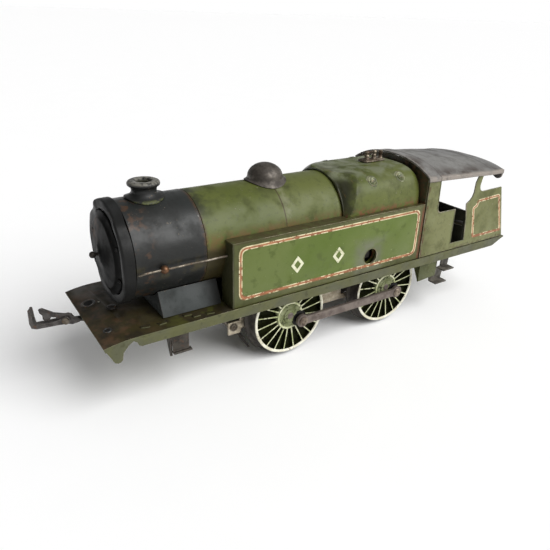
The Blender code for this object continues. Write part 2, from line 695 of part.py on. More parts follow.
def coupling(end, x, facing):
    """Hook plate on its rivet, turned to its resting direction, with the drop link pinned to it."""
    pivot = bpy.data.objects.new(f"{end}_coupling_pivot", None)
    pivot.parent = FRAME
    pivot.location = Vector((x, 0, 0)) * MM
    pivot.rotation_euler = (0, 0, math.radians(facing))
    PARTS.objects.link(pivot)
    eye = [[*arc(0, 0, 3.0, -140, 140, 8), (-11.0, 1.9), (-15.4, 0.6), (-15.4, -0.6), (-11.0, -1.9)],
           circle(0, 0, 1.3, 14)]
    shank = sheet(f"{end}_coupling_hook", eye, "XY", COUPLING_Z - 0.8, COUPLING_Z, "coupling_black")
    hook = [(-11.8, 29.9), (-14.8, 30.2), (-15.8, 31.7), (-18.6, 31.7), (-22.4, 32.2), (-26.6, 34.2),
            (-27.8, 33.8),
            (-27.4, 32.2), (-26.5, 31.4), (-26.6, 29.6), (-25.6, 29.0), (-24.0, 29.4), (-23.2, 30.6),
            (-21.6, 30.4), (-20.6, 28.9), (-19.4, 27.6), (-15.6, 27.2), (-13.2, 28.0), (-11.4, 29.0)]
    plate = sheet(f"{end}_hook_plate", [hook, circle(LINK_REACH, LINK_Z, 0.95, 12)], "XZ", -0.6, 0.6)
    join(shank, plate)
    outline = [*arc(0, 0, 1.6, -70, 90, 6), (-3.9, -0.4), (-12.2, -2.1), (-12.5, -0.9), (-12.9, 4.7),
               (-13.8, 4.7), (-14.0, -1.1), (-13.4, -3.3), (-11.4, -3.6), (-2.4, -1.9)]
    drawn = ([outline, circle(0, 0, 0.95, 12)], "XZ")
    eye_at = (LINK_REACH, LINK_Z)
    link = sheet(f"{end}_coupling_link", *drawn, -LINK_HALF_WIDTH, -1.0, "coupling_black", eye_at)
    far_arm = sheet(f"{end}_link_far_arm", *drawn, 1.0, LINK_HALF_WIDTH, None, eye_at)
    bow = box(f"{end}_link_bow", (-LINK_TIP + 0.3, -1.6, 29.6), (-LINK_TIP + 1.0, 1.6, 34.2))
    join(link, far_arm, bow)
    pin = turned(f"{end}_link_pin", [(0, 2.6), (1.4, 2.6), (1.4, 2.0), (0.65, 2.0), (0.65, -2.0),
                 (1.4, -2.0), (1.4, -2.6), (0, -2.6)], "rail_steel", (LINK_REACH, 0, LINK_Z), TO_SIDE[-1], 12)
    for piece in (shank, plate, link, far_arm, bow, pin):
        piece.parent = pivot
    turned(f"{end}_coupling_rivet", [(0, DECK_Z + 1.1), (1.6, DECK_Z + 0.9), (2.2, DECK_Z + 0.3),
           (1.0, DECK_Z + 0.3), (1.0, COUPLING_Z - 1.1), (2.2, COUPLING_Z - 1.1), (1.8, COUPLING_Z - 1.9),
           (0, COUPLING_Z - 1.9)], "rail_steel", (x, 0, 0), sides=16)


# ---------------------------------------------------------------- wheels and rods


def wheel(name, axle_x, side, angle):
    """Die-cast wheel: flange, tread, recessed web, hub and crank boss."""
    out = WHEEL_WIDTH
    profile = [(FLANGE_R, 0), (1.9, 0), (1.9, out + 0.3), (HUB_R - 0.3, out - 0.4),
               (HUB_R, out - WEB_DEPTH), (RIM_IN_R, out - WEB_DEPTH), (RIM_IN_R + 0.3, out),
               (TREAD_R, out), (TREAD_R + 0.3, 2.0), (FLANGE_R, 1.2)]
    at = (axle_x, side * BACK_TO_BACK / 2, AXLE_Z)
    tilt, _, _ = TO_SIDE[side]
    made = turned(name, list(reversed(profile)), "wheel_green", at, (tilt, -angle, 0), WHEEL_SIDES, ring=True)
    dx, dz = crank(angle)
    face = side * (WHEEL_FACE + 0.4)
    deep = side * (BACK_TO_BACK / 2 + WHEEL_WIDTH - WEB_DEPTH - 0.4)
    pin_x, pin_z = axle_x + dx, AXLE_Z + dz
    boss = rod_between(name + "_boss", 2.5, (pin_x, deep, pin_z), (pin_x, face, pin_z))
    hole = rod_between(name + "_pin_hole", CRANKPIN_R + 0.25, (axle_x + dx, side * 16.6, AXLE_Z + dz),
                       (axle_x + dx, side * 23, AXLE_Z + dz), 14)
    join(made, boss)
    return cut(made, hole)


def crankpin(name, axle_x, side, angle):
    """Shouldered pin with a wide head outside the rod."""
    dx, dz = crank(angle)
    r = CRANKPIN_R
    profile = [(0, 24.8), (1.7, 24.8), (2.1, 24.5), (2.1, 24.1), (r, 24.1), (r, 22.2), (1.9, 22.2),
               (1.9, 21.6), (r, 21.6), (r, 17.0), (0, 17.0)]
    return turned(name, profile, "rail_steel", (axle_x + dx, 0, AXLE_Z + dz), TO_SIDE[side], 12)


def axle(name, axle_x):
    half = WHEEL_FACE + 0.3
    profile = [(0, half), (AXLE_R - 0.2, half), (AXLE_R, half - 0.3), (AXLE_R, -half + 0.3),
               (AXLE_R - 0.2, -half), (0, -half)]
    return turned(name, profile, "rod_steel", (axle_x, 0, AXLE_Z), TO_SIDE[-1], 20)


def coupling_rod(side_name, side, angle):
    """Flat rod joining both crankpins; its front eye is the looser one."""
    dx, dz = crank(angle)
    spread = math.degrees(math.asin(ROD_HEIGHT / 2 / ROD_BOSS_R))
    outline = [*arc(0, 0, ROD_BOSS_R, spread, 360 - spread, 12),
               *arc(WHEELBASE, 0, ROD_BOSS_R, 180 + spread, 540 - spread, 12)]
    holes = [circle(0, 0, CRANKPIN_R + 0.45, 14), circle(WHEELBASE, 0, CRANKPIN_R + 0.3, 14)]
    near, far = sorted((side * ROD_IN, side * (ROD_IN + ROD_THICK)))
    return sheet(f"{side_name}_coupling_rod", [outline, *holes], "XZ", near, far, "rod_steel",
                 (dx, AXLE_Z + dz))


def running_gear():
    for side_name, (side, angle) in SIDES.items():
        for end, x in (("front", 0), ("rear", WHEELBASE)):
            wheel(f"{side_name}_{end}_wheel", x, side, angle)
            crankpin(f"{side_name}_{end}_crankpin", x, side, angle)
        coupling_rod(side_name, side, angle)
    axle("front_axle", 0)
    axle("rear_axle", WHEELBASE)


# ---------------------------------------------------------------- spring motor


def intermediate_centre():
    """Centre of the intermediate gear, which meshes with both the great gear and the axle gear."""
    to_great = MODULE * (GREAT_TEETH + PINION_TEETH) / 2
    to_axle = MODULE * (WHEEL_TEETH + AXLE_TEETH) / 2
    dx, dz = WHEELBASE - ARBOR_X, AXLE_Z - ARBOR_Z
    apart = math.hypot(dx, dz)
    along = (to_great ** 2 - to_axle ** 2 + apart ** 2) / (2 * apart)
    aside = math.sqrt(to_great ** 2 - along ** 2)
    ux, uz = dx / apart, dz / apart
    return ARBOR_X + ux * along - uz * aside, ARBOR_Z + uz * along + ux * aside


MID_X, MID_Z = intermediate_centre()
PILLARS = {"front": (-24.1, 16.9), "middle": (27.4, 53.6), "rear": (68.4, 47.4)}


def gear_outline(teeth, phase):
    """Spur gear outline about its centre, with a tooth centred on phase, in radians."""
    pitch_r = MODULE * teeth / 2
    root, tip = pitch_r - 1.0 * MODULE, pitch_r + 0.75 * MODULE
    step = 2 * math.pi / teeth
    points = []
    for i in range(teeth):
        middle = phase + i * step
        for radius, share in ((root, -0.30), (tip, -0.12), (tip, 0.12), (root, 0.30)):
            a = middle + share * step
            points.append((radius * math.cos(a), radius * math.sin(a)))
    return points


def meshing_phase(centre, teeth, other, other_teeth, other_phase):
    """Phase that puts a gap of this gear against a tooth of the other one."""
    towards = math.atan2(other[1] - centre[1], other[0] - centre[0])
    back = towards + math.pi
    offset = (back - other_phase) / (2 * math.pi / other_teeth)
    return towards + (0.5 + offset) * 2 * math.pi / teeth


def gears():
    great, mid, axle_at = (ARBOR_X, ARBOR_Z), (MID_X, MID_Z), (WHEELBASE, AXLE_Z)
    arbor_hole, shaft_hole = circle(0, 0, ARBOR_R + 0.3), circle(0, 0, SHAFT_R + 0.3, 12)
    sheet("great_gear", [gear_outline(GREAT_TEETH, 0), arbor_hole], "XZ", 6.6, 8.4, "gear_brass", great)
    pinion_phase = meshing_phase(mid, PINION_TEETH, great, GREAT_TEETH, 0)
    middle = sheet("intermediate_gear", [gear_outline(WHEEL_TEETH, 0), shaft_hole], "XZ", 3.8, 5.4,
                   "gear_brass", mid)
    pinion = sheet("intermediate_pinion", [gear_outline(PINION_TEETH, pinion_phase), shaft_hole],
                   "XZ", 5.2, 9.0, None, mid)
    join(middle, pinion)
    phase = meshing_phase(axle_at, AXLE_TEETH, mid, WHEEL_TEETH, 0)
    sheet("axle_gear", [gear_outline(AXLE_TEETH, phase), circle(0, 0, AXLE_R + 0.3)], "XZ", 3.9, 5.3,
          "gear_brass", axle_at)
    rod_between("intermediate_shaft", SHAFT_R, (MID_X, -12.9, MID_Z), (MID_X, 12.9, MID_Z), 14, "rod_steel")


def mainspring():
    """Coiled ribbon between the arbor and the middle pillar."""
    steps = round(SPRING_TURNS * 12)
    inner, outer = [], []
    for i in range(steps + 1):
        a = 2 * math.pi * SPRING_TURNS * i / steps
        r = SPRING_IN + (SPRING_OUT - SPRING_IN) * i / steps
        inner.append((ARBOR_X + r * math.cos(a), ARBOR_Z + r * math.sin(a)))
        outer.append((ARBOR_X + (r + 0.5) * math.cos(a), ARBOR_Z + (r + 0.5) * math.sin(a)))
    return sheet("mainspring", [inner + outer[::-1]], "XZ", -8.5, 2.5, "spring_steel")


def winding_arbor():
    """Arbor with a squared end that the key fits, behind the hole in the left tank."""
    arbor = turned("winding_arbor", [(0, 13.0), (ARBOR_R, 13.0), (ARBOR_R, -13.0), (0, -13.0)], "rod_steel",
                   (ARBOR_X, 0, ARBOR_Z), TO_SIDE[-1], 20)
    half = KEY_SQUARE / 2
    return join(arbor, box("arbor_square", (ARBOR_X - half, -ARBOR_END, ARBOR_Z - half),
                           (ARBOR_X + half, -PLATE_OUT, ARBOR_Z + half)))


def motor_plate(side_name, side):
    """Side plate of the motor, with its bearing holes and the lug ahead of the front wheel."""
    outline = [(-26.6, 13.4), (-22.6, 13.4), (-16.6, 4.2), (-15.9, 4.6), (-20.8, 13.4), (-20.2, 15.4),
               (70.6, 15.4), (71.4, 18.0), (71.4, 57.0),
               (24.6, 57.0), (24.6, 32.4), (-21.0, 32.4), (-21.0, 19.4), (-26.6, 19.4)]
    window = [(35.4, 17.6), (42.6, 17.6), (42.6, 25.6), (35.4, 25.6)]
    holes = [circle(0, AXLE_Z, AXLE_R + 0.3, 20), circle(WHEELBASE, AXLE_Z, AXLE_R + 0.3, 20),
             circle(ARBOR_X, ARBOR_Z, ARBOR_R + 0.3, 20), circle(MID_X, MID_Z, SHAFT_R + 0.3, 14)]
    holes += [circle(x, z, 1.2, 14) for x, z in PILLARS.values()]
    near, far = sorted((side * PLATE_IN, side * PLATE_OUT))
    return sheet(f"{side_name}_motor_plate", [outline, window, *holes], "XZ", near, far, "motor_nickel")


def motor():
    for side_name, (side, _) in SIDES.items():
        motor_plate(side_name, side)
    inside, outside = PLATE_IN - GAP, PLATE_OUT + GAP
    for where, (x, z) in PILLARS.items():
        half = [(0, outside + 0.6), (1.5, outside + 0.6), (1.8, outside), (0.9, outside),
                (0.9, inside), (1.8, inside)]
        profile = half + [(r, -y) for r, y in reversed(half)]
        turned(f"{where}_pillar", profile, "rail_steel", (x, 0, z), TO_SIDE[-1], 14)
    mainspring()
    winding_arbor()
    gears()
    for name, side in (("brake_lever", -1), ("reverse_lever", 1)):
        y = side * LEVER_Y
        knob = ball_profile(1.7, 18.0, 0.7, 0)
        lever = turned(name, knob, "rail_steel", (66.0, y, LEVER_Z), (0, 90, 0), 14)
        join(lever, box(name + "_foot", (65.6, y - 0.6, LEVER_Z - 3.0), (67.2, y + 0.6, LEVER_Z + 0.6)))


# ---------------------------------------------------------------- the engine


footplate()
smokebox_saddle()
smokebox()
smokebox_front()
smokebox_door()
door_knob()
chimney()
boiler_barrel()
boiler_dome()
firebox()
safety_valves()
for side_name, (side, _) in SIDES.items():
    handrail(side_name, side)
    side_tank(side_name, side)
    cab_side(side_name, side)
    front_step(side_name, side)
    rear_step(side_name, side)
cab_front()
cab_roof()
bunker_bulkhead()
bunker_back()
for end, (x, facing) in COUPLINGS.items():
    coupling(end, x, facing)
running_gear()
motor()
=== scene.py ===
"""Looks of the gauge 0 clockwork tank locomotive: worn enamel on tinplate, on a white table.

Lengths are in millimetres and X is counted from the front axle, as the frame gives it. point()
turns them into the frame's metres.
"""

import json
import math

import bmesh
import bpy
from mathutils import Matrix, Vector, noise


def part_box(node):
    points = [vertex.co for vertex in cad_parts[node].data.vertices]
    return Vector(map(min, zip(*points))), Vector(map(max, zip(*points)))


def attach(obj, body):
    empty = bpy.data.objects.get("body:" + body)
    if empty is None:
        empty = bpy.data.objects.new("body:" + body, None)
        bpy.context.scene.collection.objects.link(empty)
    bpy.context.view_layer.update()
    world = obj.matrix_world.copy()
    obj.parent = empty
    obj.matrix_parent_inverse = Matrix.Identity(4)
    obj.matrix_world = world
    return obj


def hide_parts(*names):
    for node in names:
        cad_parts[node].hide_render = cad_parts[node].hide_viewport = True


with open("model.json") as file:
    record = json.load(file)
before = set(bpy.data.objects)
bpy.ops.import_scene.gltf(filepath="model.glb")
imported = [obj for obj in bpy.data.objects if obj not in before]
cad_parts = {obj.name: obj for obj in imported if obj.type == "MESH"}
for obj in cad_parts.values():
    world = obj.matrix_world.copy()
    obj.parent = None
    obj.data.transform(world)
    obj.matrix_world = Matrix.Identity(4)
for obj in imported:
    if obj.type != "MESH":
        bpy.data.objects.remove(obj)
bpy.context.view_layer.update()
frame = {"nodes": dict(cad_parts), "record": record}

MM = 0.001
RECORD = frame["record"]
BODY_OF = {node: body for body, nodes in RECORD["behaviour"]["bodies"].items() for node in nodes}


def extent(node):
    """Lowest and highest corner of a CAD node, in millimetres from the front axle."""
    low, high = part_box(node)
    return (Vector(low) / MM - ORIGIN, Vector(high) / MM - ORIGIN)


ORIGIN = Vector((0, 0, 0))
ORIGIN = Vector((sum(corner.x for corner in extent("front_axle")) / 2, 0, 0))


def point(x, y, z):
    return (Vector((x, y, z)) + ORIGIN) * MM


AXLE_Z = sum(corner.z for corner in extent("front_axle")) / 2
WHEELBASE = sum(corner.x for corner in extent("rear_axle")) / 2
WHEEL_IN = extent("right_front_wheel")[0].y
WHEEL_OUT = 20.9
BARREL_LOW, BARREL_HIGH = extent("boiler_barrel")
BOILER_Z = extent("smokebox_door")[0].z / 2 + extent("smokebox_door")[1].z / 2
BOILER_R = BARREL_HIGH.z - BOILER_Z
SMOKEBOX_END = BARREL_LOW.x - 0.1
DECK_Z = 33.7
CHIMNEY_X = sum(corner.x for corner in extent("chimney")) / 2
DOME_X = sum(corner.x for corner in extent("boiler_dome")) / 2
KEY_X, KEY_Z, KEY_HOLE_R = 40.1, 41.6, 3.75
BOILER_WALL = 0.7
MOTOR_OPENING = (21, 40, 13.4, 30, 62)  # X from and to, half of the width, Z from and to
ROOF_GROOVE = 79.4
TANK_OUT = extent("right_tank")[1].y
TANK_LOW, TANK_HIGH = extent("right_tank")
CAB_OUT = extent("right_cab_side")[1].y
LEFT, RIGHT = -1, 1
SIDES = {"left": LEFT, "right": RIGHT}


# Materials

NOISE_ROUGHNESS = 0.58
SEED_STEP = 7.3
MIX_FIRST, MIX_SECOND, MIX_RESULT = 6, 7, 2  # colour sockets of a mix node


def srgb(code):
    """Linear colour from a web colour."""
    colour = []
    for start in (0, 2, 4):
        value = int(code[start:start + 2], 16) / 255
        colour.append(value / 12.92 if value <= 0.04045 else ((value + 0.055) / 1.055) ** 2.4)
    return (*colour, 1)


class Field:
    """A number that changes from place to place over a material."""

    def __init__(self, paint, socket):
        self.paint = paint
        self.socket = socket

    def calc(self, operation, *values):
        return self.paint.calc(operation, self, *values)

    def __add__(self, other):
        return self.calc("ADD", other)

    def __sub__(self, other):
        return self.calc("SUBTRACT", other)

    def __rsub__(self, other):
        return self.paint.calc("SUBTRACT", other, self)

    def __mul__(self, other):
        return self.calc("MULTIPLY", other)

    def __or__(self, other):
        """The greater of the two."""
        return self.calc("MAXIMUM", other)

    def __abs__(self):
        return self.calc("ABSOLUTE")

    def ramp(self, low, high):
        """0 at low, 1 at high and smooth between."""
        return self.paint.field("MapRange", self, low, high, interpolation_type="SMOOTHSTEP")

    def near(self, centre, reach):
        """1 at centre, falling to 0 at reach from it."""
        return abs(self - centre).ramp(reach, 0)

    def within(self, low, high):
        """1 between low and high."""
        half = (high - low) / 2
        return abs(self - (low + half)).ramp(half + 0.1, half - 0.1)

    def between(self, low, high):
        """Runs from low to high as this field runs from 0 to 1."""
        return self * (high - low) + low


class Paint:
    """A material that is written as short formulas. Places and sizes are in millimetres."""

    def __init__(self, name, tone):
        self.material = bpy.data.materials.new(name)
        self.material.use_nodes = True
        self.nodes = self.material.node_tree.nodes
        self.links = self.material.node_tree.links
        place = self.add("TexCoord").outputs["Object"]
        scaled = self.add("VectorMath", place, (1 / MM,) * 3, -ORIGIN, operation="MULTIPLY_ADD")
        self.place = scaled.outputs[0]
        self.x, self.y, self.z = self.split(self.place)
        self.tone = tone

    def feed(self, socket, value):
        """Gives a socket a field, another node's output, a web colour or a plain value."""
        value = getattr(value, "socket", value)
        if hasattr(value, "is_output"):
            self.links.new(value, socket)
        else:
            socket.default_value = srgb(value) if isinstance(value, str) else value

    def add(self, kind, *values, **settings):
        """A new node, whose first inputs take the values."""
        node = self.nodes.new("ShaderNode" + kind)
        for setting, value in settings.items():
            setattr(node, setting, value)
        for socket, value in zip(node.inputs, values):
            self.feed(socket, value)
        return node

    def field(self, kind, *values, **settings):
        return Field(self, self.add(kind, *values, **settings).outputs[0])

    def calc(self, operation, *values):
        return self.field("Math", *values, operation=operation)

    def split(self, vector):
        return [Field(self, part) for part in self.add("SeparateXYZ", vector).outputs]

    def facing(self):
        """Direction of the surface, as three fields."""
        return self.split(self.add("NewGeometry").outputs["Normal"])

    def noise(self, size, seed, detail=4, stretch=None):
        """Cloudy pattern between 0 and 1, whose blotches are about size across."""
        place = self.place
        if stretch:
            place = self.add("VectorMath", place, stretch, operation="MULTIPLY").outputs[0]
        return self.field("TexNoise", place, seed * SEED_STEP, 1 / size, detail, NOISE_ROUGHNESS,
            noise_dimensions="4D")

    def patches(self, size, seed, low, high, detail=4, stretch=None):
        """Blotches of a cloudy pattern: 0 up to low, 1 from high."""
        return self.noise(size, seed, detail, stretch).ramp(low, high)

    def blend(self, factor, first, second):
        node = self.add("Mix", factor, data_type="RGBA")
        self.feed(node.inputs[MIX_FIRST], first)
        self.feed(node.inputs[MIX_SECOND], second)
        return node.outputs[MIX_RESULT]

    def wash(self, mask, colour, strength=1.0):
        """Lays colour over the paint where mask is set."""
        self.tone = self.blend(self.calc("MULTIPLY", mask, strength), self.tone, colour)

    def stain(self, mask, colour, size, seed, low=0.40, high=0.58):
        """Lays colour where mask is set, broken up by blotches."""
        self.wash(self.patches(size, seed, low, high, 5), colour, mask)

    def finish(self, roughness, metallic=0.0, bumps=(), specular=0.5):
        shader = self.nodes["Principled BSDF"]
        for name, value in (("Base Color", self.tone), ("Roughness", roughness), ("Metallic", metallic)):
            self.feed(shader.inputs[name], value)
        shader.inputs["Specular IOR Level"].default_value = specular
        last = None
        for height, depth in bumps:
            bump = self.add("Bump")
            bump.inputs["Distance"].default_value = depth * MM
            self.feed(bump.inputs["Height"], height)
            if last:
                self.feed(bump.inputs["Normal"], last)
            last = bump.outputs[0]
        if last:
            self.feed(shader.inputs["Normal"], last)
        return self.material


RUST = "56361e"
BARE_TIN = "807a6a"
OLIVE, OLIVE_LIGHT, OLIVE_DARK = "4a521e", "565c2c", "323616"


def enamel(name, colour, light, dark, chip=BARE_TIN, gloss=0.4, dents=0.35, marks=None, specular=0.28):
    """Old enamel on tinplate: cloudy colour, darker grime, small chips, soft dents and orange peel."""
    paint = Paint(name, colour)
    cloudy = paint.noise(8, 2, 5)
    paint.wash(paint.patches(34, 1, 0.38, 0.62, 2), light)
    paint.wash(cloudy.ramp(0.48, 0.72), dark, 0.65)
    paint.wash(paint.patches(1.5, 3, 0.54, 0.68), dark, 0.35)
    chipped = paint.patches(0.8, 4, 0.66, 0.70, 2) * paint.patches(11, 5, 0.52, 0.62, 3)
    paint.wash(chipped, chip)
    if marks:
        marks(paint)
    rough = (cloudy.ramp(0.4, 0.7) | chipped).between(gloss, gloss + 0.3)
    bumps = ((paint.noise(13, 6, 2), dents), (paint.noise(1.1, 7, 3), 0.035), (1 - chipped, 0.03))
    return paint.finish(rough, 0.0, bumps, specular)


def worn_edge(name, colour, bare, amount=0.5):
    """Edge where the enamel is rubbed down to the metal in places."""
    paint = Paint(name, colour)
    rubbed = paint.patches(5, 40, 0.62 - amount * 0.3, 0.68 - amount * 0.2, 5)
    paint.wash(rubbed, bare)
    paint.stain(0.7, "60462c", 1.6, 41, 0.56, 0.66)
    bumps = ((paint.noise(0.9, 42, 3), 0.03),)
    return paint.finish(rubbed.between(0.45, 0.3), rubbed.between(0.0, 0.55), bumps)


def metal(name, colour, dark, rust, gloss, metallic, rusty, marks=None):
    """Bare or plated metal with tarnish, rust spots and fine scratches."""
    paint = Paint(name, colour)
    tarnish = paint.patches(3.5, 43, 0.36, 0.64, 5)
    spots = paint.patches(1.6, 44, rusty, rusty + 0.12, 5)
    paint.wash(tarnish, dark)
    paint.wash(spots, rust)
    if marks:
        marks(paint)
    bumps = ((paint.noise(0.7, 45, 2, (0.2, 1, 1)), 0.02), (paint.noise(2.2, 46, 3), 0.05))
    rough = (tarnish | spots).between(gloss, gloss + 0.3)
    return paint.finish(rough, spots.between(metallic, metallic * 0.35), bumps)


def chipped_paint(name, colour, shade, under, missing, size=2.2, seed=50, low_wear=0.0):
    """Thin paint, such as lining, flaked away in patches down to the colour under it."""
    paint = Paint(name, colour)
    paint.wash(paint.patches(3.0, seed, 0.4, 0.65), shade)
    low = paint.z.ramp(40.0, 38.4) * low_wear
    flaked = (paint.noise(size, seed + 1, 5) + low).ramp(missing, missing + 0.05)
    paint.wash(flaked, under)
    bumps = ((1 - flaked, 0.03), (paint.noise(0.8, seed + 2, 3), 0.02))
    return paint.finish(flaked.between(0.45, 0.65), 0.0, bumps)


def wheel_paint(name, colour, shade, dirt, seed, dirty_from=0.50, specular=0.18):
    """Wheel enamel with oily dirt in it."""
    paint = Paint(name, colour)
    paint.wash(paint.patches(4.0, seed, 0.38, 0.62), shade)
    dirty = paint.patches(1.4, seed + 1, dirty_from, dirty_from + 0.14, 5)
    paint.wash(dirty, dirt)
    bumps = ((paint.noise(0.9, seed + 2), 0.05), (paint.noise(3.0, seed + 3, 2), 0.08))
    return paint.finish(dirty.between(0.42, 0.65), 0.0, bumps, specular)


def barrel_marks(paint):
    """Rusty front edge, rubbed seam under the dome, brown foot that is darker lower down, painted shade low
    on the barrel ahead of the tanks, and a darker top near the smokebox and round the dome.
    """
    paint.stain(paint.x.near(SMOKEBOX_END, 1.5), "3c2a1a", 1.6, 12, 0.36, 0.52)
    paint.wash(paint.x.near(-0.6, 3.6) * paint.patches(4, 13, 0.40, 0.60), "7c7c64", 0.45)
    paint.wash(paint.x.near(-2.4, 0.5) * paint.patches(7, 13, 0.34, 0.48), "342414", 0.9)
    paint.stain(paint.z.ramp(65.5, 61.5), "5c4a26", 3.0, 14, 0.35, 0.6)
    # Painted shade: near black low on the barrel ahead of the tank fronts, where the tanks and the boiler's
    # underside shade it.
    paint.wash(paint.x.ramp(-29, -34) * paint.z.ramp(62, 53), "14130b", 0.9)
    paint.stain(paint.z.ramp(59.5, 56.5), "322c14", 6.0, 58, 0.30, 0.50)
    paint.stain(paint.x.ramp(-31, SMOKEBOX_END) * paint.z.ramp(66, 74), "282b18", 4.0, 57, 0.36, 0.60)
    paint.stain(paint.x.near(DOME_X, 14) * paint.z.ramp(72, 77), OLIVE_DARK, 5.0, 15)


def firebox_marks(paint):
    """Rusty foot, painted shade on the sunken shoulder, streaks and a painted sheen on the top."""
    paint.stain(paint.z.ramp(66.0, 61.0), "704a32", 2.4, 16, 0.46, 0.60)
    past_press = paint.x - (paint.z * 0.52 - 5.6)
    # Painted shade: the sunken shoulder ahead of the crease, near black, with a softer patchy edge behind
    # it.
    paint.wash(past_press.ramp(2.4, -2.6) * paint.z.ramp(79, 73.5), "19190e", 0.9)
    paint.wash(past_press.ramp(6.0, 0.5) * paint.patches(5, 17, 0.42, 0.6), "282816", 0.6)
    paint.wash(paint.patches(2.2, 18, 0.62, 0.70, 3, (1, 0.2, 0.12)), "624e2e", 0.45)
    # Painted sheen: lighter grey patches on the top of the casing.
    paint.wash(paint.patches(6, 47, 0.40, 0.60) * paint.z.ramp(74.5, 77), "70745e", 0.7)


def smokebox_marks(paint):
    """Rusty rear edge, brown handrail line and light scratches."""
    paint.stain(paint.x.near(SMOKEBOX_END, 1.6), "3e2c1a", 1.5, 19, 0.40, 0.56)
    paint.stain(paint.z.near(54.0, 5.0), "3a341c", 6.0, 20, 0.46, 0.60)
    paint.stain(paint.x.near(-64.0, 7.0), "3c2a1c", 3.2, 21, 0.52, 0.62)
    paint.wash(paint.patches(2.6, 22, 0.735, 0.76, 2, (1.6, 1.0, 0.5)), "78766e")


def door_marks(paint):
    """Rusty patch high on the right half of the door."""
    patch = paint.y.near(6, 9) * paint.z.near(66, 8) * paint.x.ramp(-72.3, -72.8)
    paint.stain(patch, "463224", 2.5, 59, 0.42, 0.56)


def chimney_marks(paint):
    """Lip rubbed to grey and a green rim round the skirt."""
    paint.stain(paint.z.ramp(82.1, 83.0), "706e66", 1.5, 48)
    paint.stain(paint.z.ramp(77.3, 76.6), "4a4e2c", 1.5, 49, 0.40, 0.60)


def saddle_marks(paint):
    """Painted shade at the ends, under the ring and against the tanks."""
    paint.wash(paint.x.ramp(-60, -64) | paint.x.ramp(-42, -34), "100f0d", 0.8)


def deck_marks(paint):
    """Olive-brown deck, grimy near the smokebox, and grey-green valances below it."""
    paint.tone = paint.blend(paint.patches(6, 23, 0.36, 0.62, 5), "322c18", "221d12")
    paint.stain(paint.x.ramp(-58, -74), "423222", 5.0, 24, 0.46, 0.66)
    paint.wash(paint.patches(6, 25, 0.46, 0.62) * paint.x.ramp(-66, -50), "42441a", 0.75)
    deck = paint.tone
    paint.tone = paint.blend(paint.patches(9, 26, 0.35, 0.65), "545534", "4d4e39")
    paint.stain(0.8, "3e3e26", 2.2, 27, 0.56, 0.68)
    paint.tone = paint.blend(paint.facing()[2].ramp(0.75, 0.45), deck, paint.tone)


TANK_LINE = (-28.8, 36.6, 69.3, 59.7)  # lowest X and Z, highest X and Z
LINE_MIDDLE = 0.8  # from the outer edge of the lining


def tank_marks(paint):
    """Brighter panel inside the lining, rubbed grey round the winding hole, rust at the cab end."""
    side = paint.tone
    paint.tone = paint.blend(paint.patches(30, 28, 0.35, 0.65, 3), "506024", "5c6834")
    paint.stain(0.75, "465220", 3.5, 29, 0.54, 0.66)
    paint.wash(paint.patches(1.2, 30, 0.66, 0.70, 3) * paint.patches(16, 31, 0.5, 0.6), "7a8458")
    x0, z0, x1, z1 = TANK_LINE
    panel = paint.x.within(x0 + LINE_MIDDLE, x1 - LINE_MIDDLE)
    panel = panel * paint.z.within(z0 + LINE_MIDDLE, z1 - LINE_MIDDLE)
    paint.tone = paint.blend(panel, side, paint.tone)
    from_hole = abs(paint.x - (KEY_X - 1.0)) | abs(paint.z - (KEY_Z + 0.6))
    paint.stain(from_hole.ramp(11.0, 4.5) * paint.y.ramp(-20, -25) * 0.8, "626354", 5.0, 32, 0.22, 0.6)
    # Painted shade on the tank's front end.
    paint.wash(paint.x.ramp(TANK_LOW.x + 0.8, TANK_LOW.x + 0.3), "262416", 0.7)
    paint.stain(paint.x.ramp(69.8, 71.6), "5c3620", 2.6, 33, 0.36, 0.5)
    paint.stain(paint.z.ramp(60.4, 61.4), "423c22", 2.4, 34, 0.34, 0.56)


def cab_marks(paint):
    """Grey-green side, with painted shade on its inside faces and on the cab front plate."""
    # Painted shade on the faces that look inwards.
    paint.wash((paint.facing()[1] * paint.y).ramp(1.0, -1.0), "1e2014", 0.75)
    # Painted shade on the cab front plate.
    paint.wash(paint.x.near(72.9, 1.2) * abs(paint.y).ramp(25.4, 24.8), "16160e", 0.85)
    paint.stain(paint.x.near(73.0, 1.8), "503a26", 2.2, 35, 0.42, 0.58)
    paint.stain(paint.z.ramp(36.4, 34.0), "4a4226", 2.0, 36, 0.42, 0.6)


def roof_marks(paint):
    """Darker edges, worn eaves, painted shade in the groove behind the front rib and rubbed streaks."""
    across = abs(paint.y)
    paint.stain(paint.x.ramp(84, 72) | across.ramp(17, 25), "423a35", 8.0, 56, 0.38, 0.64)
    paint.stain(across.ramp(24.6, 26.0), "867e76", 5.0, 37, 0.30, 0.55)
    paint.stain(paint.x.near(72.0, 1.6), "84807a", 3.0, 38, 0.35, 0.6)
    # Painted shade in the groove behind the front rib.
    paint.wash(paint.x.near(ROOF_GROOVE, 0.45), "302d2a", 0.75)
    paint.wash(paint.patches(7, 39, 0.58, 0.72, 4, (0.35, 1, 1)), "807c76", 0.5)


def nickel_marks(paint):
    """Dark guard strip ahead of the front wheels, and painted shade on the plates up in the body."""
    strip = paint.z.ramp(13.6, 13.2) * paint.x.ramp(-15, -15.4)
    # Painted shade on the plates up inside the body, from about 33 to 36 mm up.
    paint.wash(strip | paint.z.ramp(33, 36) * 0.9, "28241f")


def step_marks(paint):
    """Green hanger that turns to bare grey metal behind."""
    grey = paint.blend(paint.patches(3, 90, 0.4, 0.6), "605c54", "403c36")
    paint.wash(paint.x.ramp(87.0, 88.0), grey)


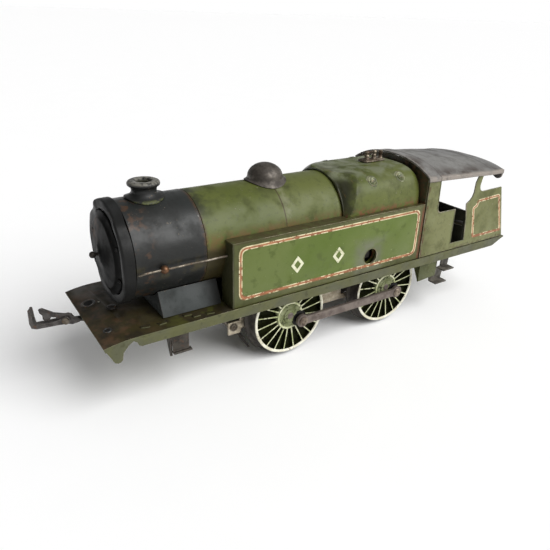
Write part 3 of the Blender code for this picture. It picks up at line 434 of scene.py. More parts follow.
BARREL_GREEN = enamel("barrel_green", OLIVE, OLIVE_LIGHT, OLIVE_DARK, marks=barrel_marks)
FIREBOX_GREEN = enamel("firebox_green", OLIVE, OLIVE_LIGHT, OLIVE_DARK, marks=firebox_marks, gloss=0.34,
    dents=0.5)
TANK_GREEN = enamel("tank_green", "484c28", "545634", "36341b", marks=tank_marks, gloss=0.4, dents=0.2)
CAB_GREEN = enamel("cab_green", "60623a", "6c6e48", "444528", marks=cab_marks, gloss=0.4, dents=0.25)
DECK_PAINT = enamel("footplate_paint", OLIVE, OLIVE_LIGHT, OLIVE_DARK, marks=deck_marks, gloss=0.42)
SMOKEBOX_PAINT = enamel("smokebox_paint", "161715", "212423", "0f0e0c", "60584c", marks=smokebox_marks,
    gloss=0.34, specular=0.34)
FRONT_PAINT = enamel("smokebox_front_paint", "0b0b0a", "141515", "070606", "30251d", marks=door_marks,
    gloss=0.46, dents=0.6, specular=0.06)
RING_PAINT = enamel("ring_paint", "121211", "1e1f1f", "0b0a09", "544a3c", gloss=0.4, dents=0.5,
    specular=0.2)
CHIMNEY_PAINT = enamel("chimney_paint", "121211", "1e1f1e", "0b0a09", "54483a", marks=chimney_marks,
    gloss=0.36, dents=0.4, specular=0.3)
SADDLE_PAINT = enamel("saddle_paint", "303433", "3c3f3e", "222321", "544e44", marks=saddle_marks,
    gloss=0.46, dents=0.2, specular=0.25)
# Near-black paint for inside faces, cut edges and the bunker bulkhead: the dark inside colour and painted
# shade in one.
INSIDE_PAINT_AND_SHADE = enamel("inside_paint_and_shade", "22221c", "323228", "14130f", gloss=0.45)
ROOF_PAINT = enamel("roof_paint", "686765", "787774", "4c4946", "8c827a", marks=roof_marks, gloss=0.42,
    dents=0.5)
DOME_BRONZE = metal("dome_bronze", "565049", "3a3530", "2c2622", 0.36, 0.5, 0.6)
VALVE_BRASS = metal("valve_brass", "968c7c", "48382c", "2e221a", 0.34, 0.75, 0.54)
KNOB_BRASS = metal("knob_brass", "705038", "4c3626", "302219", 0.34, 0.75, 0.56)
RAIL_STEEL = metal("rail_steel", "80786c", "585045", "523c2a", 0.36, 0.75, 0.56)
NICKEL = metal("motor_nickel", "beb4a0", "968a76", "6e543a", 0.36, 0.7, 0.62, nickel_marks)
PIN_STEEL = metal("pin_steel", "928676", "5c5046", "3c2e24", 0.34, 0.7, 0.55)
DARK_STEEL = metal("dark_steel", "34302c", "221f1c", "30241c", 0.4, 0.6, 0.58)
GEAR_BRASS = metal("gear_brass", "be9658", "8c683a", "503820", 0.3, 0.95, 0.62)
SPRING_STEEL = metal("spring_steel", "545660", "383a46", "603e24", 0.28, 0.95, 0.6)
ROD_STEEL = metal("rod_steel", "766c65", "625852", "4a3a30", 0.42, 0.6, 0.60)
COUPLING_METAL = metal("coupling_metal", "54504e", "363331", "4e3626", 0.38, 0.5, 0.58)
STEP_METAL = metal("step_metal", "3e3932", "28241f", "463426", 0.44, 0.4, 0.56)
IRON = metal("wheel_iron", "423d37", "2a2723", "3c3026", 0.42, 0.5, 0.6)
CREAM_LINE = chipped_paint("cream_line", "cec29e", "aa9a74", "765230", 0.54, low_wear=0.08)
ORANGE_LINE = chipped_paint("orange_line", "9e623c", "7e4a2c", "685632", 0.60, seed=54)
CREAM_MARK = chipped_paint("cream_mark", "ceceb2", "b6b694", "64703a", 0.60, 1.4, 58)
RIM_CREAM = wheel_paint("rim_cream", "dedccc", "c4c0aa", "968e7a", 62, 0.56)
SPOKE_CREAM = wheel_paint("spoke_cream", "ceceb0", "9ca276", "585c38", 66, 0.53)
WEB_OLIVE = wheel_paint("web_olive", "1e210e", "16180b", "0d0c08", 70, specular=0.04)
HUB_GREEN = wheel_paint("hub_green", "808464", "626844", "343722", 74)
BOSS_BLACK = wheel_paint("boss_black", "11100d", "0b0a09", "28201a", 78, 0.58)
EDGE_GREEN = worn_edge("edge_green", "5a5d3e", "8c8770", 0.5)
EDGE_BLACK = worn_edge("edge_black", "242422", "56524a", 0.3)
EDGE_ROOF = worn_edge("edge_roof", "625c57", "968c82", 0.5)
EDGE_STEEL = worn_edge("edge_steel", "605852", "968e84", 0.5)
EDGE_OLIVE = worn_edge("edge_olive", "464b2a", "8c8e70", 0.5)
STEP_PAINT = enamel("rear_step_paint", "424626", "4e5230", "2c2d18", marks=step_marks, gloss=0.4, dents=0.2)
# Near-black fill for slits and eyelet holes: painted shade standing for the openings.
SLOT_SHADE = enamel("slot_shade", "0e0d0b", "181612", "080807", RUST, 0.6)


# Making pieces


def smooth(mesh, angle=38):
    mesh.shade_smooth()
    mesh.set_sharp_from_angle(angle=math.radians(angle))


def make(name, mesh, materials):
    obj = bpy.data.objects.new(name, mesh)
    bpy.context.scene.collection.objects.link(obj)
    for entry in materials:
        mesh.materials.append(entry)
    return obj


def bevel(obj, width, segments=2, edge_slot=None):
    """Rounds the sharp edges; edge_slot is the material of the rounding."""
    modifier = obj.modifiers.new("edges", "BEVEL")
    modifier.width = width * MM
    modifier.segments = segments
    modifier.limit_method = "ANGLE"
    modifier.angle_limit = math.radians(38)
    modifier.harden_normals = True
    if edge_slot is not None:
        modifier.material = edge_slot
    return obj


def present(obj, *nodes):
    """obj stands for these CAD nodes and moves with them."""
    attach(obj, BODY_OF[nodes[0]])
    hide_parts(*nodes)
    return obj


def add_on(obj, node):
    """obj is extra detail on a CAD node."""
    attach(obj, BODY_OF[node])
    return obj


def refined(node, paint, edge, width=0.2):
    """The CAD node itself, with its own paint and with rounded, worn edges."""
    obj = frame["nodes"][node]
    obj.data.materials.clear()
    obj.data.materials.append(paint)
    obj.data.materials.append(edge)
    obj.data.shade_smooth()
    weld = obj.modifiers.new("weld", "WELD")
    weld.merge_threshold = 0.005 * MM
    flat = obj.modifiers.new("flat_faces", "DECIMATE")
    flat.decimate_type = "DISSOLVE"
    flat.angle_limit = math.radians(1)
    bevel(obj, width, 2, 1)


def new_mesh(name, bm):
    """Mesh from a finished bmesh, smooth but for its sharp edges."""
    bmesh.ops.recalc_face_normals(bm, faces=bm.faces)
    mesh = bpy.data.meshes.new(name)
    bm.to_mesh(mesh)
    bm.free()
    smooth(mesh)
    return mesh


def stand(bm, at, axis):
    """Moves a bmesh, drawn in millimetres about its own Z, to its place on axis."""
    turn = Vector(axis).to_track_quat("Z", "Y").to_matrix().to_4x4()
    bm.transform(Matrix.Translation(point(*at)) @ turn @ Matrix.Scale(MM, 4))


def lathe_mesh(name, profile, at, axis, sides=64, ring=False, bend=None):
    """Turned surface. The profile gives (radius, height along axis); bend(radius, angle, height)
    may move a height, as for a foot that follows the boiler."""
    bm = bmesh.new()
    rows = []
    for radius, height in profile:
        if radius < 0.001:
            rows.append([bm.verts.new((0, 0, height))])
            continue
        row = []
        for i in range(sides):
            a = 2 * math.pi * i / sides
            h = bend(radius, a, height) if bend else height
            row.append(bm.verts.new((radius * math.cos(a), radius * math.sin(a), h)))
        rows.append(row)
    pairs = list(zip(rows, rows[1:]))
    if ring:
        pairs.append((rows[-1], rows[0]))
    for upper, lower in pairs:
        for i in range(sides):
            j = (i + 1) % sides
            corners = [upper[i % len(upper)], lower[i % len(lower)]]
            corners += [lower[j % len(lower)], upper[j % len(upper)]]
            face = []
            for corner in corners:
                if corner not in face:
                    face.append(corner)
            bm.faces.new(face)
    stand(bm, at, axis)
    return new_mesh(name, bm)


def lathe(name, profile, at, axis, material, **options):
    return make(name, lathe_mesh(name, profile, at, axis, **options), [material])


FORWARD, UP = (-1, 0, 0), (0, 0, 1)


def outward(side):
    return (0, side, 0)


def turned(node, profile, at, axis, material):
    """A small turned piece in place of a CAD node."""
    present(lathe(node + "_turned", profile, at, axis, material, sides=32), node)


def rectangle(x0, z0, x1, z1):
    return [(x0, z0), (x1, z0), (x1, z1), (x0, z1)]


def arc(x, z, radius, start, end, steps):
    """Points on an arc, with angles in degrees."""
    angles = [math.radians(start + (end - start) * i / steps) for i in range(steps + 1)]
    return [(x + radius * math.cos(a), z + radius * math.sin(a)) for a in angles]


def rounded_corners(corners, radius, steps=5):
    """Closed outline with every corner rounded."""
    outline = []
    for i, corner in enumerate(corners):
        here = Vector(corner)
        before, after = Vector(corners[i - 1]), Vector(corners[(i + 1) % len(corners)])
        start = here + (before - here).normalized() * radius
        end = here + (after - here).normalized() * radius
        for k in range(steps + 1):
            t = k / steps
            outline.append(tuple(start * (1 - t) ** 2 + here * 2 * t * (1 - t) + end * t * t))
    return outline


def inset(corners, depth):
    """Closed outline, anticlockwise, moved inwards by depth."""
    moved = []
    for i, corner in enumerate(corners):
        here = Vector(corner)
        before = (here - Vector(corners[i - 1])).normalized()
        after = (Vector(corners[(i + 1) % len(corners)]) - here).normalized()
        normal = (Vector((-before.y, before.x)) + Vector((-after.y, after.x))).normalized()
        share = max(0.3, normal.dot(Vector((-before.y, before.x))))
        moved.append(tuple(here + normal * depth / share))
    return moved


PLANES = {
    "XZ": Matrix(((1, 0, 0), (0, 0, 1), (0, 1, 0))).to_4x4(),
    "XY": Matrix.Identity(4),
    "YZ": Matrix(((0, 0, 1), (1, 0, 0), (0, 1, 0))).to_4x4(),
}
SAME_PLACE = 0.0005


def plate_mesh(name, outlines, plane, near, far):
    """Flat plate between near and far, cut to outlines drawn on plane; later ones are holes."""
    curve = bpy.data.curves.new(name, "CURVE")
    curve.dimensions = "2D"
    curve.fill_mode = "BOTH"
    curve.extrude = abs(far - near) / 2
    for outline in outlines:
        spline = curve.splines.new("POLY")
        spline.points.add(len(outline) - 1)
        for target, (u, v) in zip(spline.points, outline):
            target.co = (u, v, 0, 1)
        spline.use_cyclic_u = True
    helper = bpy.data.objects.new(name, curve)
    bpy.context.scene.collection.objects.link(helper)
    bpy.context.view_layer.update()
    flat = bpy.data.meshes.new_from_object(helper.evaluated_get(bpy.context.evaluated_depsgraph_get()))
    bpy.data.objects.remove(helper)
    turn = PLANES[plane]
    offset = turn @ Vector((0, 0, (near + far) / 2))
    bm = bmesh.new()
    bm.from_mesh(flat)
    bpy.data.meshes.remove(flat)
    bmesh.ops.remove_doubles(bm, verts=bm.verts, dist=SAME_PLACE)
    bm.transform(Matrix.Translation(point(*offset)) @ Matrix.Scale(MM, 4) @ turn)
    return new_mesh(name, bm)


def plate(name, outlines, plane, near, far, materials, edge=0.0):
    obj = make(name, plate_mesh(name, outlines, plane, near, far), materials)
    if edge:
        bevel(obj, edge, 2, len(materials) - 1)
    return obj


def tube(name, path, radius, material, resolution=4):
    """Round wire along a path."""
    curve = bpy.data.curves.new(name, "CURVE")
    curve.dimensions = "3D"
    curve.bevel_depth = radius * MM
    curve.bevel_resolution = resolution
    curve.use_fill_caps = True
    spline = curve.splines.new("POLY")
    spline.points.add(len(path) - 1)
    for target, place in zip(spline.points, path):
        target.co = (*point(*place), 1)
    spline.use_smooth = True
    curve.materials.append(material)
    obj = bpy.data.objects.new(name, curve)
    bpy.context.scene.collection.objects.link(obj)
    return obj


def add_rows(bm, rows):
    """Skin over rows of points. Gives the faces, strip by strip."""
    lines = [[bm.verts.new(p) for p in row] for row in rows]
    strips = []
    for a, b in zip(lines, lines[1:]):
        strips.append([bm.faces.new((a[i], a[i + 1], b[i + 1], b[i])) for i in range(len(a) - 1)])
    return strips


def loft_mesh(name, rows):
    bm = bmesh.new()
    add_rows(bm, [[point(*p) for p in row] for row in rows])
    return new_mesh(name, bm)


def thicken(obj, thickness):
    modifier = obj.modifiers.new("tinplate", "SOLIDIFY")
    modifier.thickness = thickness * MM
    modifier.offset = -1
    modifier.use_even_offset = True


def merge(name, objects):
    """One object from several, which keep their materials and modifiers' results."""
    bm = bmesh.new()
    materials = []
    graph = bpy.context.evaluated_depsgraph_get()
    for obj in objects:
        bpy.context.view_layer.update()
        mesh = bpy.data.meshes.new_from_object(obj.evaluated_get(graph))
        slots = []
        for entry in obj.data.materials:
            if entry not in materials:
                materials.append(entry)
            slots.append(materials.index(entry))
        for polygon in mesh.polygons:
            polygon.material_index = slots[min(polygon.material_index, len(slots) - 1)]
        bm.from_mesh(mesh)
        bpy.data.objects.remove(obj)
    mesh = bpy.data.meshes.new(name)
    bm.to_mesh(mesh)
    bm.free()
    smooth(mesh)
    return make(name, mesh, materials)


# Wheels and rods

CRANK_THROW = 5.6
CRANKS = {"left": -28.125, "right": 61.875}
WHEEL_WIDTH = WHEEL_OUT - WHEEL_IN
RIM_IN, TREAD_R, FLANGE_R, HUB_R = 16.9, 18.2, 19.95, 6.8
WEB = WHEEL_WIDTH - 2.3
SPOKE_TOP = WHEEL_WIDTH - 0.45
SPOKES = 20


def pin_place(axle_x, y, crank):
    """Place of a crankpin, at y from the engine's middle."""
    turn = math.radians(crank)
    return (axle_x + CRANK_THROW * math.cos(turn), y, AXLE_Z + CRANK_THROW * math.sin(turn))


def spoke(angle):
    """Rows of points over one tapered, rounded spoke, standing on the web."""
    rows = []
    turn = Matrix.Rotation(angle, 3, "Z")
    for r, half, top in ((HUB_R - 0.6, 0.50, SPOKE_TOP), (10.5, 0.38, SPOKE_TOP + 0.1),
                         (14.5, 0.34, SPOKE_TOP + 0.1), (RIM_IN + 0.3, 0.40, SPOKE_TOP + 0.1)):
        left = [(-half - 0.25, WEB - 0.1), (-half, top - 0.6), (-half * 0.7, top)]
        profile = left + [(-across, height) for across, height in reversed(left)]
        rows.append([turn @ Vector((r, across, height)) for across, height in profile])
    return rows


def spokes(name, at, axis):
    """Dark spokes with cream tops."""
    bm = bmesh.new()
    for i in range(SPOKES):
        for strip in add_rows(bm, spoke(2 * math.pi * (i + 0.5) / SPOKES)):
            for face in strip:
                face.material_index = 1
            strip[len(strip) // 2].material_index = 0
    stand(bm, at, axis)
    return make(name, new_mesh(name, bm), [SPOKE_CREAM, WEB_OLIVE])


def wheel(name, axle_x, side, crank):
    """Die-cast wheel with a cream rim, twenty cream-edged spokes and a ringed hub."""
    at, axis, out = (axle_x, side * WHEEL_IN, AXLE_Z), outward(side), WHEEL_WIDTH
    iron = [(1.7, 0), (RIM_IN - 1.5, 0), (RIM_IN - 1.2, 0.5), (FLANGE_R - 1.6, 0.5), (FLANGE_R - 1.4, 0),
        (FLANGE_R - 0.2, 0), (FLANGE_R, 0.25), (FLANGE_R, 0.9), (FLANGE_R - 0.3, 1.3),
        (TREAD_R + 0.45, 1.7),
        (TREAD_R + 0.25, 2.2), (TREAD_R, out - 0.35), (TREAD_R - 0.35, out - 0.02),
        (TREAD_R - 0.5, WEB - 0.4),
        (1.7, WEB - 0.4)]
    rim = [(RIM_IN, WEB), (RIM_IN, out - 0.35), (RIM_IN + 0.3, out), (TREAD_R - 0.3, out),
        (TREAD_R - 0.02, out - 0.3), (TREAD_R - 0.02, out - 0.9), (TREAD_R - 0.6, WEB)]
    web = [(HUB_R - 1, WEB), (HUB_R + 1.5, WEB - 0.15), (RIM_IN + 0.2, WEB), (RIM_IN + 0.2, WEB - 0.8),
        (HUB_R - 1, WEB - 0.8)]
    inside = [(RIM_IN - 0.15, WEB - 0.1), (RIM_IN - 0.05, out - 0.45), (RIM_IN + 0.3, out - 0.4),
        (RIM_IN + 0.3, WEB - 0.1)]
    hub = [(1.6, out + 0.05), (3.2, out + 0.05), (3.4, out - 0.4), (5.5, out - 0.4), (5.55, out - 0.55),
        (5.9, out - 0.55), (5.95, out - 0.3), (HUB_R - 0.25, out - 0.3), (HUB_R, out - 0.6),
        (HUB_R + 0.25, WEB - 0.1), (1.6, WEB - 0.1)]
    ring = [(5.6, out - 0.5), (5.75, out - 0.22), (HUB_R - 0.35, out - 0.22), (HUB_R - 0.2, out - 0.5)]
    parts = []
    for part, profile, material, sides in (
        ("iron", iron, IRON, 96), ("rim", rim, RIM_CREAM, 96), ("web", web, WEB_OLIVE, 96),
        ("inside", inside, WEB_OLIVE, 96), ("hub", hub, HUB_GREEN, 64), ("ring", ring, SPOKE_CREAM, 64),
    ):
        parts.append(lathe(f"{name}_{part}", profile, at, axis, material, sides=sides, ring=True))
    parts.append(spokes(name + "_spokes", at, axis))
    boss = [(0, out + 0.4), (3.0, out + 0.4), (3.6, out + 0.1), (4.1, out - 1.0), (4.5, WEB - 0.1),
        (0, WEB - 0.1)]
    pin = pin_place(axle_x, side * WHEEL_IN, crank)
    parts.append(lathe(name + "_boss", boss, pin, axis, BOSS_BLACK, sides=32))
    present(merge(name + "_casting", parts), name)


def crankpin(name, axle_x, side, crank):
    profile = [(0, 24.45), (0.55, 24.45), (0.75, 24.75), (1.6, 24.8), (2.0, 24.6), (2.15, 24.3),
        (2.1, 24.1),
        (1.1, 24.1), (1.1, 22.2), (1.9, 22.2), (1.9, 21.6), (1.1, 21.6), (1.1, 17.0), (0, 17.0)]
    turned(name, profile, pin_place(axle_x, 0, crank), outward(side), PIN_STEEL)


def both_ways(half):
    """Profile of a pin whose two ends are alike; half runs from one end to the middle."""
    return half + [(radius, -along) for radius, along in reversed(half)]


def axle(node, x):
    end = extent(node)[1].y
    profile = both_ways([(0, end - 0.25), (0.4, end - 0.05), (1.3, end), (1.6, end - 0.35)])
    turned(node, profile, (x, 0, AXLE_Z), outward(RIGHT), ROD_STEEL)


def rod_fasteners(node, side, crank):
    """Raised washer round each crankpin on the coupling rod."""
    face = extent(node)[1 if side > 0 else 0].y * side
    profile = [(1.5, face + 0.12), (2.45, face + 0.12), (2.6, face), (2.6, face - 0.2), (1.5, face - 0.2)]
    parts = []
    for x in (0, WHEELBASE):
        at = pin_place(x, 0, crank)
        name = f"{node}_washer_{x:.0f}"
        parts.append(lathe(name, profile, at, outward(side), ROD_STEEL, sides=32, ring=True))
    add_on(merge(node + "_washers", parts), node)


def running_gear():
    for side_name, side in SIDES.items():
        crank = CRANKS[side_name]
        for end, x in (("front", 0), ("rear", WHEELBASE)):
            wheel(f"{side_name}_{end}_wheel", x, side, crank)
            crankpin(f"{side_name}_{end}_crankpin", x, side, crank)
        refined(f"{side_name}_coupling_rod", ROD_STEEL, EDGE_STEEL, 0.35)
        rod_fasteners(f"{side_name}_coupling_rod", side, crank)
    axle("front_axle", 0)
    axle("rear_axle", WHEELBASE)


# Boiler


def sag(y):
    """How far the boiler's top falls away at y from the middle."""
    return math.sqrt(BOILER_R ** 2 - min(abs(y), BOILER_R * 0.98) ** 2) - BOILER_R


def boiler_foot(top, depth, lift):
    """Bends a turned piece, over depth below top, to follow the boiler."""

    def bend(radius, angle, height):
        share = min(1.0, max(0.0, (top - height) / depth))
        return height + share * (sag(radius * math.sin(angle)) + lift)

    return bend


def boiler_tube(name, radius, front, rear, material):
    """Rolled tube along the boiler's axis."""
    outside = [(radius, -front - 0.12 - (rear - front - 0.24) * i / 12) for i in range(13)]
    profile = [(radius - 0.1, -front), *outside, (radius - 0.1, -rear), (radius - BOILER_WALL, -rear),
        (radius - BOILER_WALL, -front)]
    return lathe(name, profile, (0, 0, BOILER_Z), FORWARD, material, sides=128, ring=True)


def cut(name, obj, cutter):
    """obj with the cutter's shape taken out of it."""
    obj.modifiers.new("opening", "BOOLEAN").object = cutter
    obj = merge(name, [obj])
    bpy.data.objects.remove(cutter)
    return obj


def barrel():
    """Green barrel, open below where the motor stands."""
    tube_part = boiler_tube("barrel_tube", BOILER_R, SMOKEBOX_END + 0.15, BARREL_HIGH.x, BARREL_GREEN)
    x0, x1, half, z0, z1 = MOTOR_OPENING
    opening = plate("opening", [rectangle(x0, z0, x1, z1)], "XZ", -half, half, [INSIDE_PAINT_AND_SHADE])
    present(cut("barrel_tube_shell", tube_part, opening), "boiler_barrel")


def chimney():
    """Spun chimney whose skirt follows the smokebox."""
    profile = [(3.0, 82.4), (3.15, 83.1), (3.6, 83.3), (4.5, 83.3), (5.2, 83.25), (5.8, 83.0),
        (6.15, 82.5),
        (6.2, 82.1), (6.05, 81.6), (5.7, 81.3), (5.3, 81.15), (4.95, 80.7), (4.8, 80.0), (4.8, 79.3),
        (4.95, 78.5),
        (5.3, 77.9), (5.9, 77.45), (6.7, 77.15), (7.3, 77.0), (7.6, 76.8), (7.6, 76.4), (6.8, 76.2)]
    foot = boiler_foot(79.3, 2.4, BOILER_Z + BOILER_R - 76)
    stack = lathe("chimney_spun", profile, (CHIMNEY_X, 0, 0), UP, CHIMNEY_PAINT, sides=64, bend=foot)
    tube_wall = [(3.0, 82.4), (3.0, 76.5), (2.6, 76.5), (2.6, 82.2)]
    bore = lathe("chimney_bore", tube_wall, (CHIMNEY_X, 0, 0), UP, INSIDE_PAINT_AND_SHADE, sides=48, ring=True)
    present(merge("chimney_stack", [stack, bore]), "chimney")


def dome():
    """Spun dome, flattened by a knock, on a flared skirt."""
    r, rise, skirt_depth = 7.6, 5.85, 3.25
    middle = extent("boiler_dome")[1].z - 0.05 - rise
    angles = [math.radians(degrees) for degrees in range(0, 91, 5)]
    cap = [(r * math.sin(a), middle + rise * math.cos(a)) for a in angles]
    skirt = [(7.65, 0.4), (7.78, 0.9), (7.98, 1.5), (8.25, 2.1), (8.6, 2.6), (8.95, 2.98), (9.1, 3.12),
        (9.0, skirt_depth), (7.4, skirt_depth)]
    profile = cap + [(radius, middle - drop) for radius, drop in skirt]
    foot = boiler_foot(middle - 0.1, 2.9, BOILER_Z + BOILER_R + 0.3 - (middle - skirt_depth))
    spun = lathe("dome_spun", profile, (DOME_X, 0, 0), UP, DOME_BRONZE, sides=96, bend=foot)
    present(spun, "boiler_dome")


noise.seed_set(1)  # without it every run has other dents


def dented(mesh, depth, size, seed):
    """Moves the vertices by a soft, repeatable dent pattern."""
    for vertex in mesh.vertices:
        place = vertex.co / (size * MM) + Vector((seed, seed * 2, 0))
        vertex.co += noise.noise_vector(place) * depth * MM
    mesh.update()


def smooth_step(t):
    t = min(1.0, max(0.0, t))
    return t * t * (3 - 2 * t)


def knocked(mesh, at, reach, push):
    """Pushes the vertices round a place, as a knock does."""
    for vertex in mesh.vertices:
        near = 1 - (vertex.co - point(*at)).length / (reach * MM)
        vertex.co += Vector(push) * MM * smooth_step(near)
    mesh.update()


def front_ring():
    """Rolled front ring with two knocks in its top."""
    front, back = 71.9, 67.5
    profile = [(16.45, front - 0.35), (17.6, front - 0.05), (19.2, front), (19.8, front - 0.15),
        (20.1, front - 0.5), (20.2, front - 1.0), (20.2, back + 0.15), (20.05, back), (19.0, back),
        (19.0, front - 0.9), (16.45, front - 0.9)]
    ring = lathe("smokebox_ring", profile, (0, 0, BOILER_Z), FORWARD, RING_PAINT, sides=128, ring=True)
    dented(ring.data, 0.55, 13, 3)
    knocked(ring.data, (-71, -9, BOILER_Z + 18), 7, (0.9, 0.5, -1.1))
    knocked(ring.data, (-71, 13, BOILER_Z + 14), 6, (0.6, -0.8, -0.6))
    present(ring, "smokebox_front")


def door_strap(z):
    """Hinge strap across the door, lying on its curve."""
    outline = rounded_corners(rectangle(-15.0, z - 0.8, 10.5, z + 0.8), 0.75)
    strap = plate(f"door_strap_{z:.0f}", [outline], "YZ", -75.5, -71.6, [FRONT_PAINT, EDGE_BLACK], 0.15)
    for vertex in strap.data.vertices:
        away = math.hypot(vertex.co.y / MM, vertex.co.z / MM - BOILER_Z)
        surface = 71.9 + 2.9 * max(0.0, 1 - (away / 16.6) ** 2)
        lift = 0.35 if vertex.co.x < point(-73.5, 0, 0).x else -0.3
        vertex.co.x = point(-(surface + lift), 0, 0).x
    return strap


def door():
    """Dished door with two straps, and its turned knob."""
    dish = [(0, 74.8), (3.4, 74.75), (3.6, 74.45), (8.0, 74.1), (12.5, 73.1), (13.2, 73.15), (13.6, 73.0),
        (13.8, 72.7), (15.2, 72.1), (16.1, 71.8), (16.2, 71.2), (15.4, 71.1), (0, 73.6)]
    pressing = lathe("smokebox_door_dish", dish, (0, 0, BOILER_Z), FORWARD, FRONT_PAINT, sides=96)
    straps = [door_strap(BOILER_Z + 6.2), door_strap(BOILER_Z - 6.2)]
    piece = merge("smokebox_door_pressing", [pressing, *straps])
    dented(piece.data, 0.6, 11, 8)
    present(piece, "smokebox_door")
    knob = [(0, 78.1), (0.5, 78.05), (0.95, 77.8), (1.25, 77.35), (1.3, 76.8), (1.15, 76.3), (0.8, 75.9),
        (0.6, 75.5), (0.6, 75.0), (1.3, 74.9), (1.4, 74.75), (0.6, 74.6), (0.6, 72.5), (0, 72.5)]
    turned("door_knob", knob, (0, 0, BOILER_Z), FORWARD, DARK_STEEL)


FIREBOX_FRONT, FIREBOX_REAR, SHOULDER_PRESS = 26.5, 72.2, 9.0
FIREBOX_HALF, FIREBOX_TOP, SQUARENESS = 22.5, 20.6, 3.4
WASHOUTS_X, WASHOUT_ANGLE = (43.4, 60.2), 47.0


def full_radius(angle):
    """Radius of the firebox's full section at an angle from its top."""
    turn = math.radians(angle)
    across, up = abs(math.sin(turn)) / FIREBOX_HALF, abs(math.cos(turn)) / FIREBOX_TOP
    return (across ** SQUARENESS + up ** SQUARENESS) ** (-1 / SQUARENESS)


def firebox_point(share, angle):
    """Place on the firebox, at a share of its length. Up to share 1 the sheet rises from a lip
    round the boiler to its full section, and a crease bounds that rise."""
    away = abs(angle)
    pressed = smooth_step((away - 17) / 19) * min(1.0, max(0.0, (84 - away) / 46))
    full_at = FIREBOX_FRONT + 0.8 + SHOULDER_PRESS * pressed
    edge, full = BOILER_R + 1.15, full_radius(angle)
    if share <= 1:
        x = FIREBOX_FRONT + (full_at - FIREBOX_FRONT) * share
        return x, edge + (full - edge) * max(0.0, (share - 0.1) / 0.9) ** 0.8
    x = full_at + (FIREBOX_REAR - full_at) * (share - 1)
    return x, full - 2.0 * (1 - min(1.0, (FIREBOX_REAR - x) / 4.5)) ** 2


def firebox_skin():
    """Pressed casing, slightly uneven, with a hole for the winding arbor."""
    shares = [0, 0.1, 0.2, 0.3, 0.38, 0.46, 0.55, 0.65, 0.78, 0.9, 1.0, 1.012, 1.04]
    shares += [1.1 + 0.08 * i for i in range(10)] + [1.88 + 0.012 * i for i in range(11)]
    rows = []
    for share in shares:
        row = []
        for angle in range(-90, 91, 3):
            x, r = firebox_point(share, angle)
            turn = math.radians(angle)
            row.append((x, r * math.sin(turn), BOILER_Z + r * math.cos(turn)))
        x, side = firebox_point(share, 90)
        foot = [(x, side, 46), (x, side, DECK_Z + 0.3)]
        rows.append([(x, -y, z) for x, y, z in reversed(foot)] + row + foot)
    skin = make("firebox_skin", loft_mesh("firebox_skin", rows), [FIREBOX_GREEN, EDGE_OLIVE])
    smooth(skin.data, 18)
    dented(skin.data, 0.22, 16, 5)
    thicken(skin, 0.65)
    bevel(skin, 0.15, 1, 1)
    bore = [(0, -30), (4.15, -30), (4.15, -18), (0, -18)]
    hole = lathe("arbor_opening", bore, (KEY_X, 0, KEY_Z), outward(RIGHT), INSIDE_PAINT_AND_SHADE, sides=32)
    return cut("firebox_open", skin, hole)


def firebox():
    """Casing with four washout plugs on its shoulders."""
    casing = [firebox_skin()]
    shoulder, lean = full_radius(WASHOUT_ANGLE) - 0.15, math.radians(WASHOUT_ANGLE)
    plug = [(0, 0.15), (0.75, 0.15), (0.95, 0.42), (1.25, 0.45), (1.4, 0.25), (1.5, 0.08), (1.75, 0.1),
        (1.95, 0.4), (2.2, 0.45), (2.4, 0.3), (2.7, 0.05), (3.2, -0.15)]
    for side in SIDES.values():
        for x in WASHOUTS_X:
            outwards = (0, side * math.sin(lean), math.cos(lean))
            at = (x, shoulder * outwards[1], BOILER_Z + shoulder * outwards[2])
            casing.append(lathe(f"washout_{side}_{x}", plug, at, outwards, EDGE_OLIVE, sides=32))
    present(merge("firebox_casing", casing), "firebox")


def valve_set():
    """Cast base with two stout ribbed columns, a whistle and the easing lever."""
    low, high = extent("safety_valves")
    x0, x1, foot, half, middle = low.x, high.x, low.z, high.y, (low.x + high.x) / 2
    column = [(0, 4.25), (0.6, 4.25), (1.1, 4.05), (1.38, 3.7), (1.38, 3.3), (1.15, 2.95), (1.0, 2.7),
        (1.0, 2.0), (1.2, 1.9), (1.2, 1.6), (1.0, 1.5), (1.05, 1.0), (1.45, 0.4), (1.5, -0.3), (0, -0.3)]
    whistle = [(0, 3.85), (0.7, 3.8), (1.05, 3.5), (1.05, 1.7), (0.7, 1.45), (0.7, 1.2), (1.0, 1.0),
        (1.0, 0.3),
        (1.3, 0), (0, 0)]
    base = rounded_corners(rectangle(x0, -half, x1, half), 1.6)
    step = rounded_corners(rectangle(x0 + 0.8, 0.8 - half, x1 - 0.8, half - 0.8), 1.2)
    lever = rectangle(middle - 3.5, -0.95, middle + 0.55, -0.25)
    parts = []
    for name, outline, bottom, top, edge in (
        ("valve_base", base, 0, 0.55, 0.15), ("valve_step", step, 0.5, 0.95, 0.2),
        ("easing_lever", lever, 4.05, 4.55, 0.15),
    ):
        parts.append(plate(name, [outline], "XY", foot + bottom, foot + top, [VALVE_BRASS], edge))
    turnings = (("valve_0", column, -3.8), ("valve_1", column, 0.6), ("whistle", whistle, 4.7))
    for name, profile, x in turnings:
        parts.append(lathe(name, profile, (middle + x, -0.6, foot + 0.8), UP, VALVE_BRASS, sides=24))
    present(merge("safety_valve_set", parts), "safety_valves")


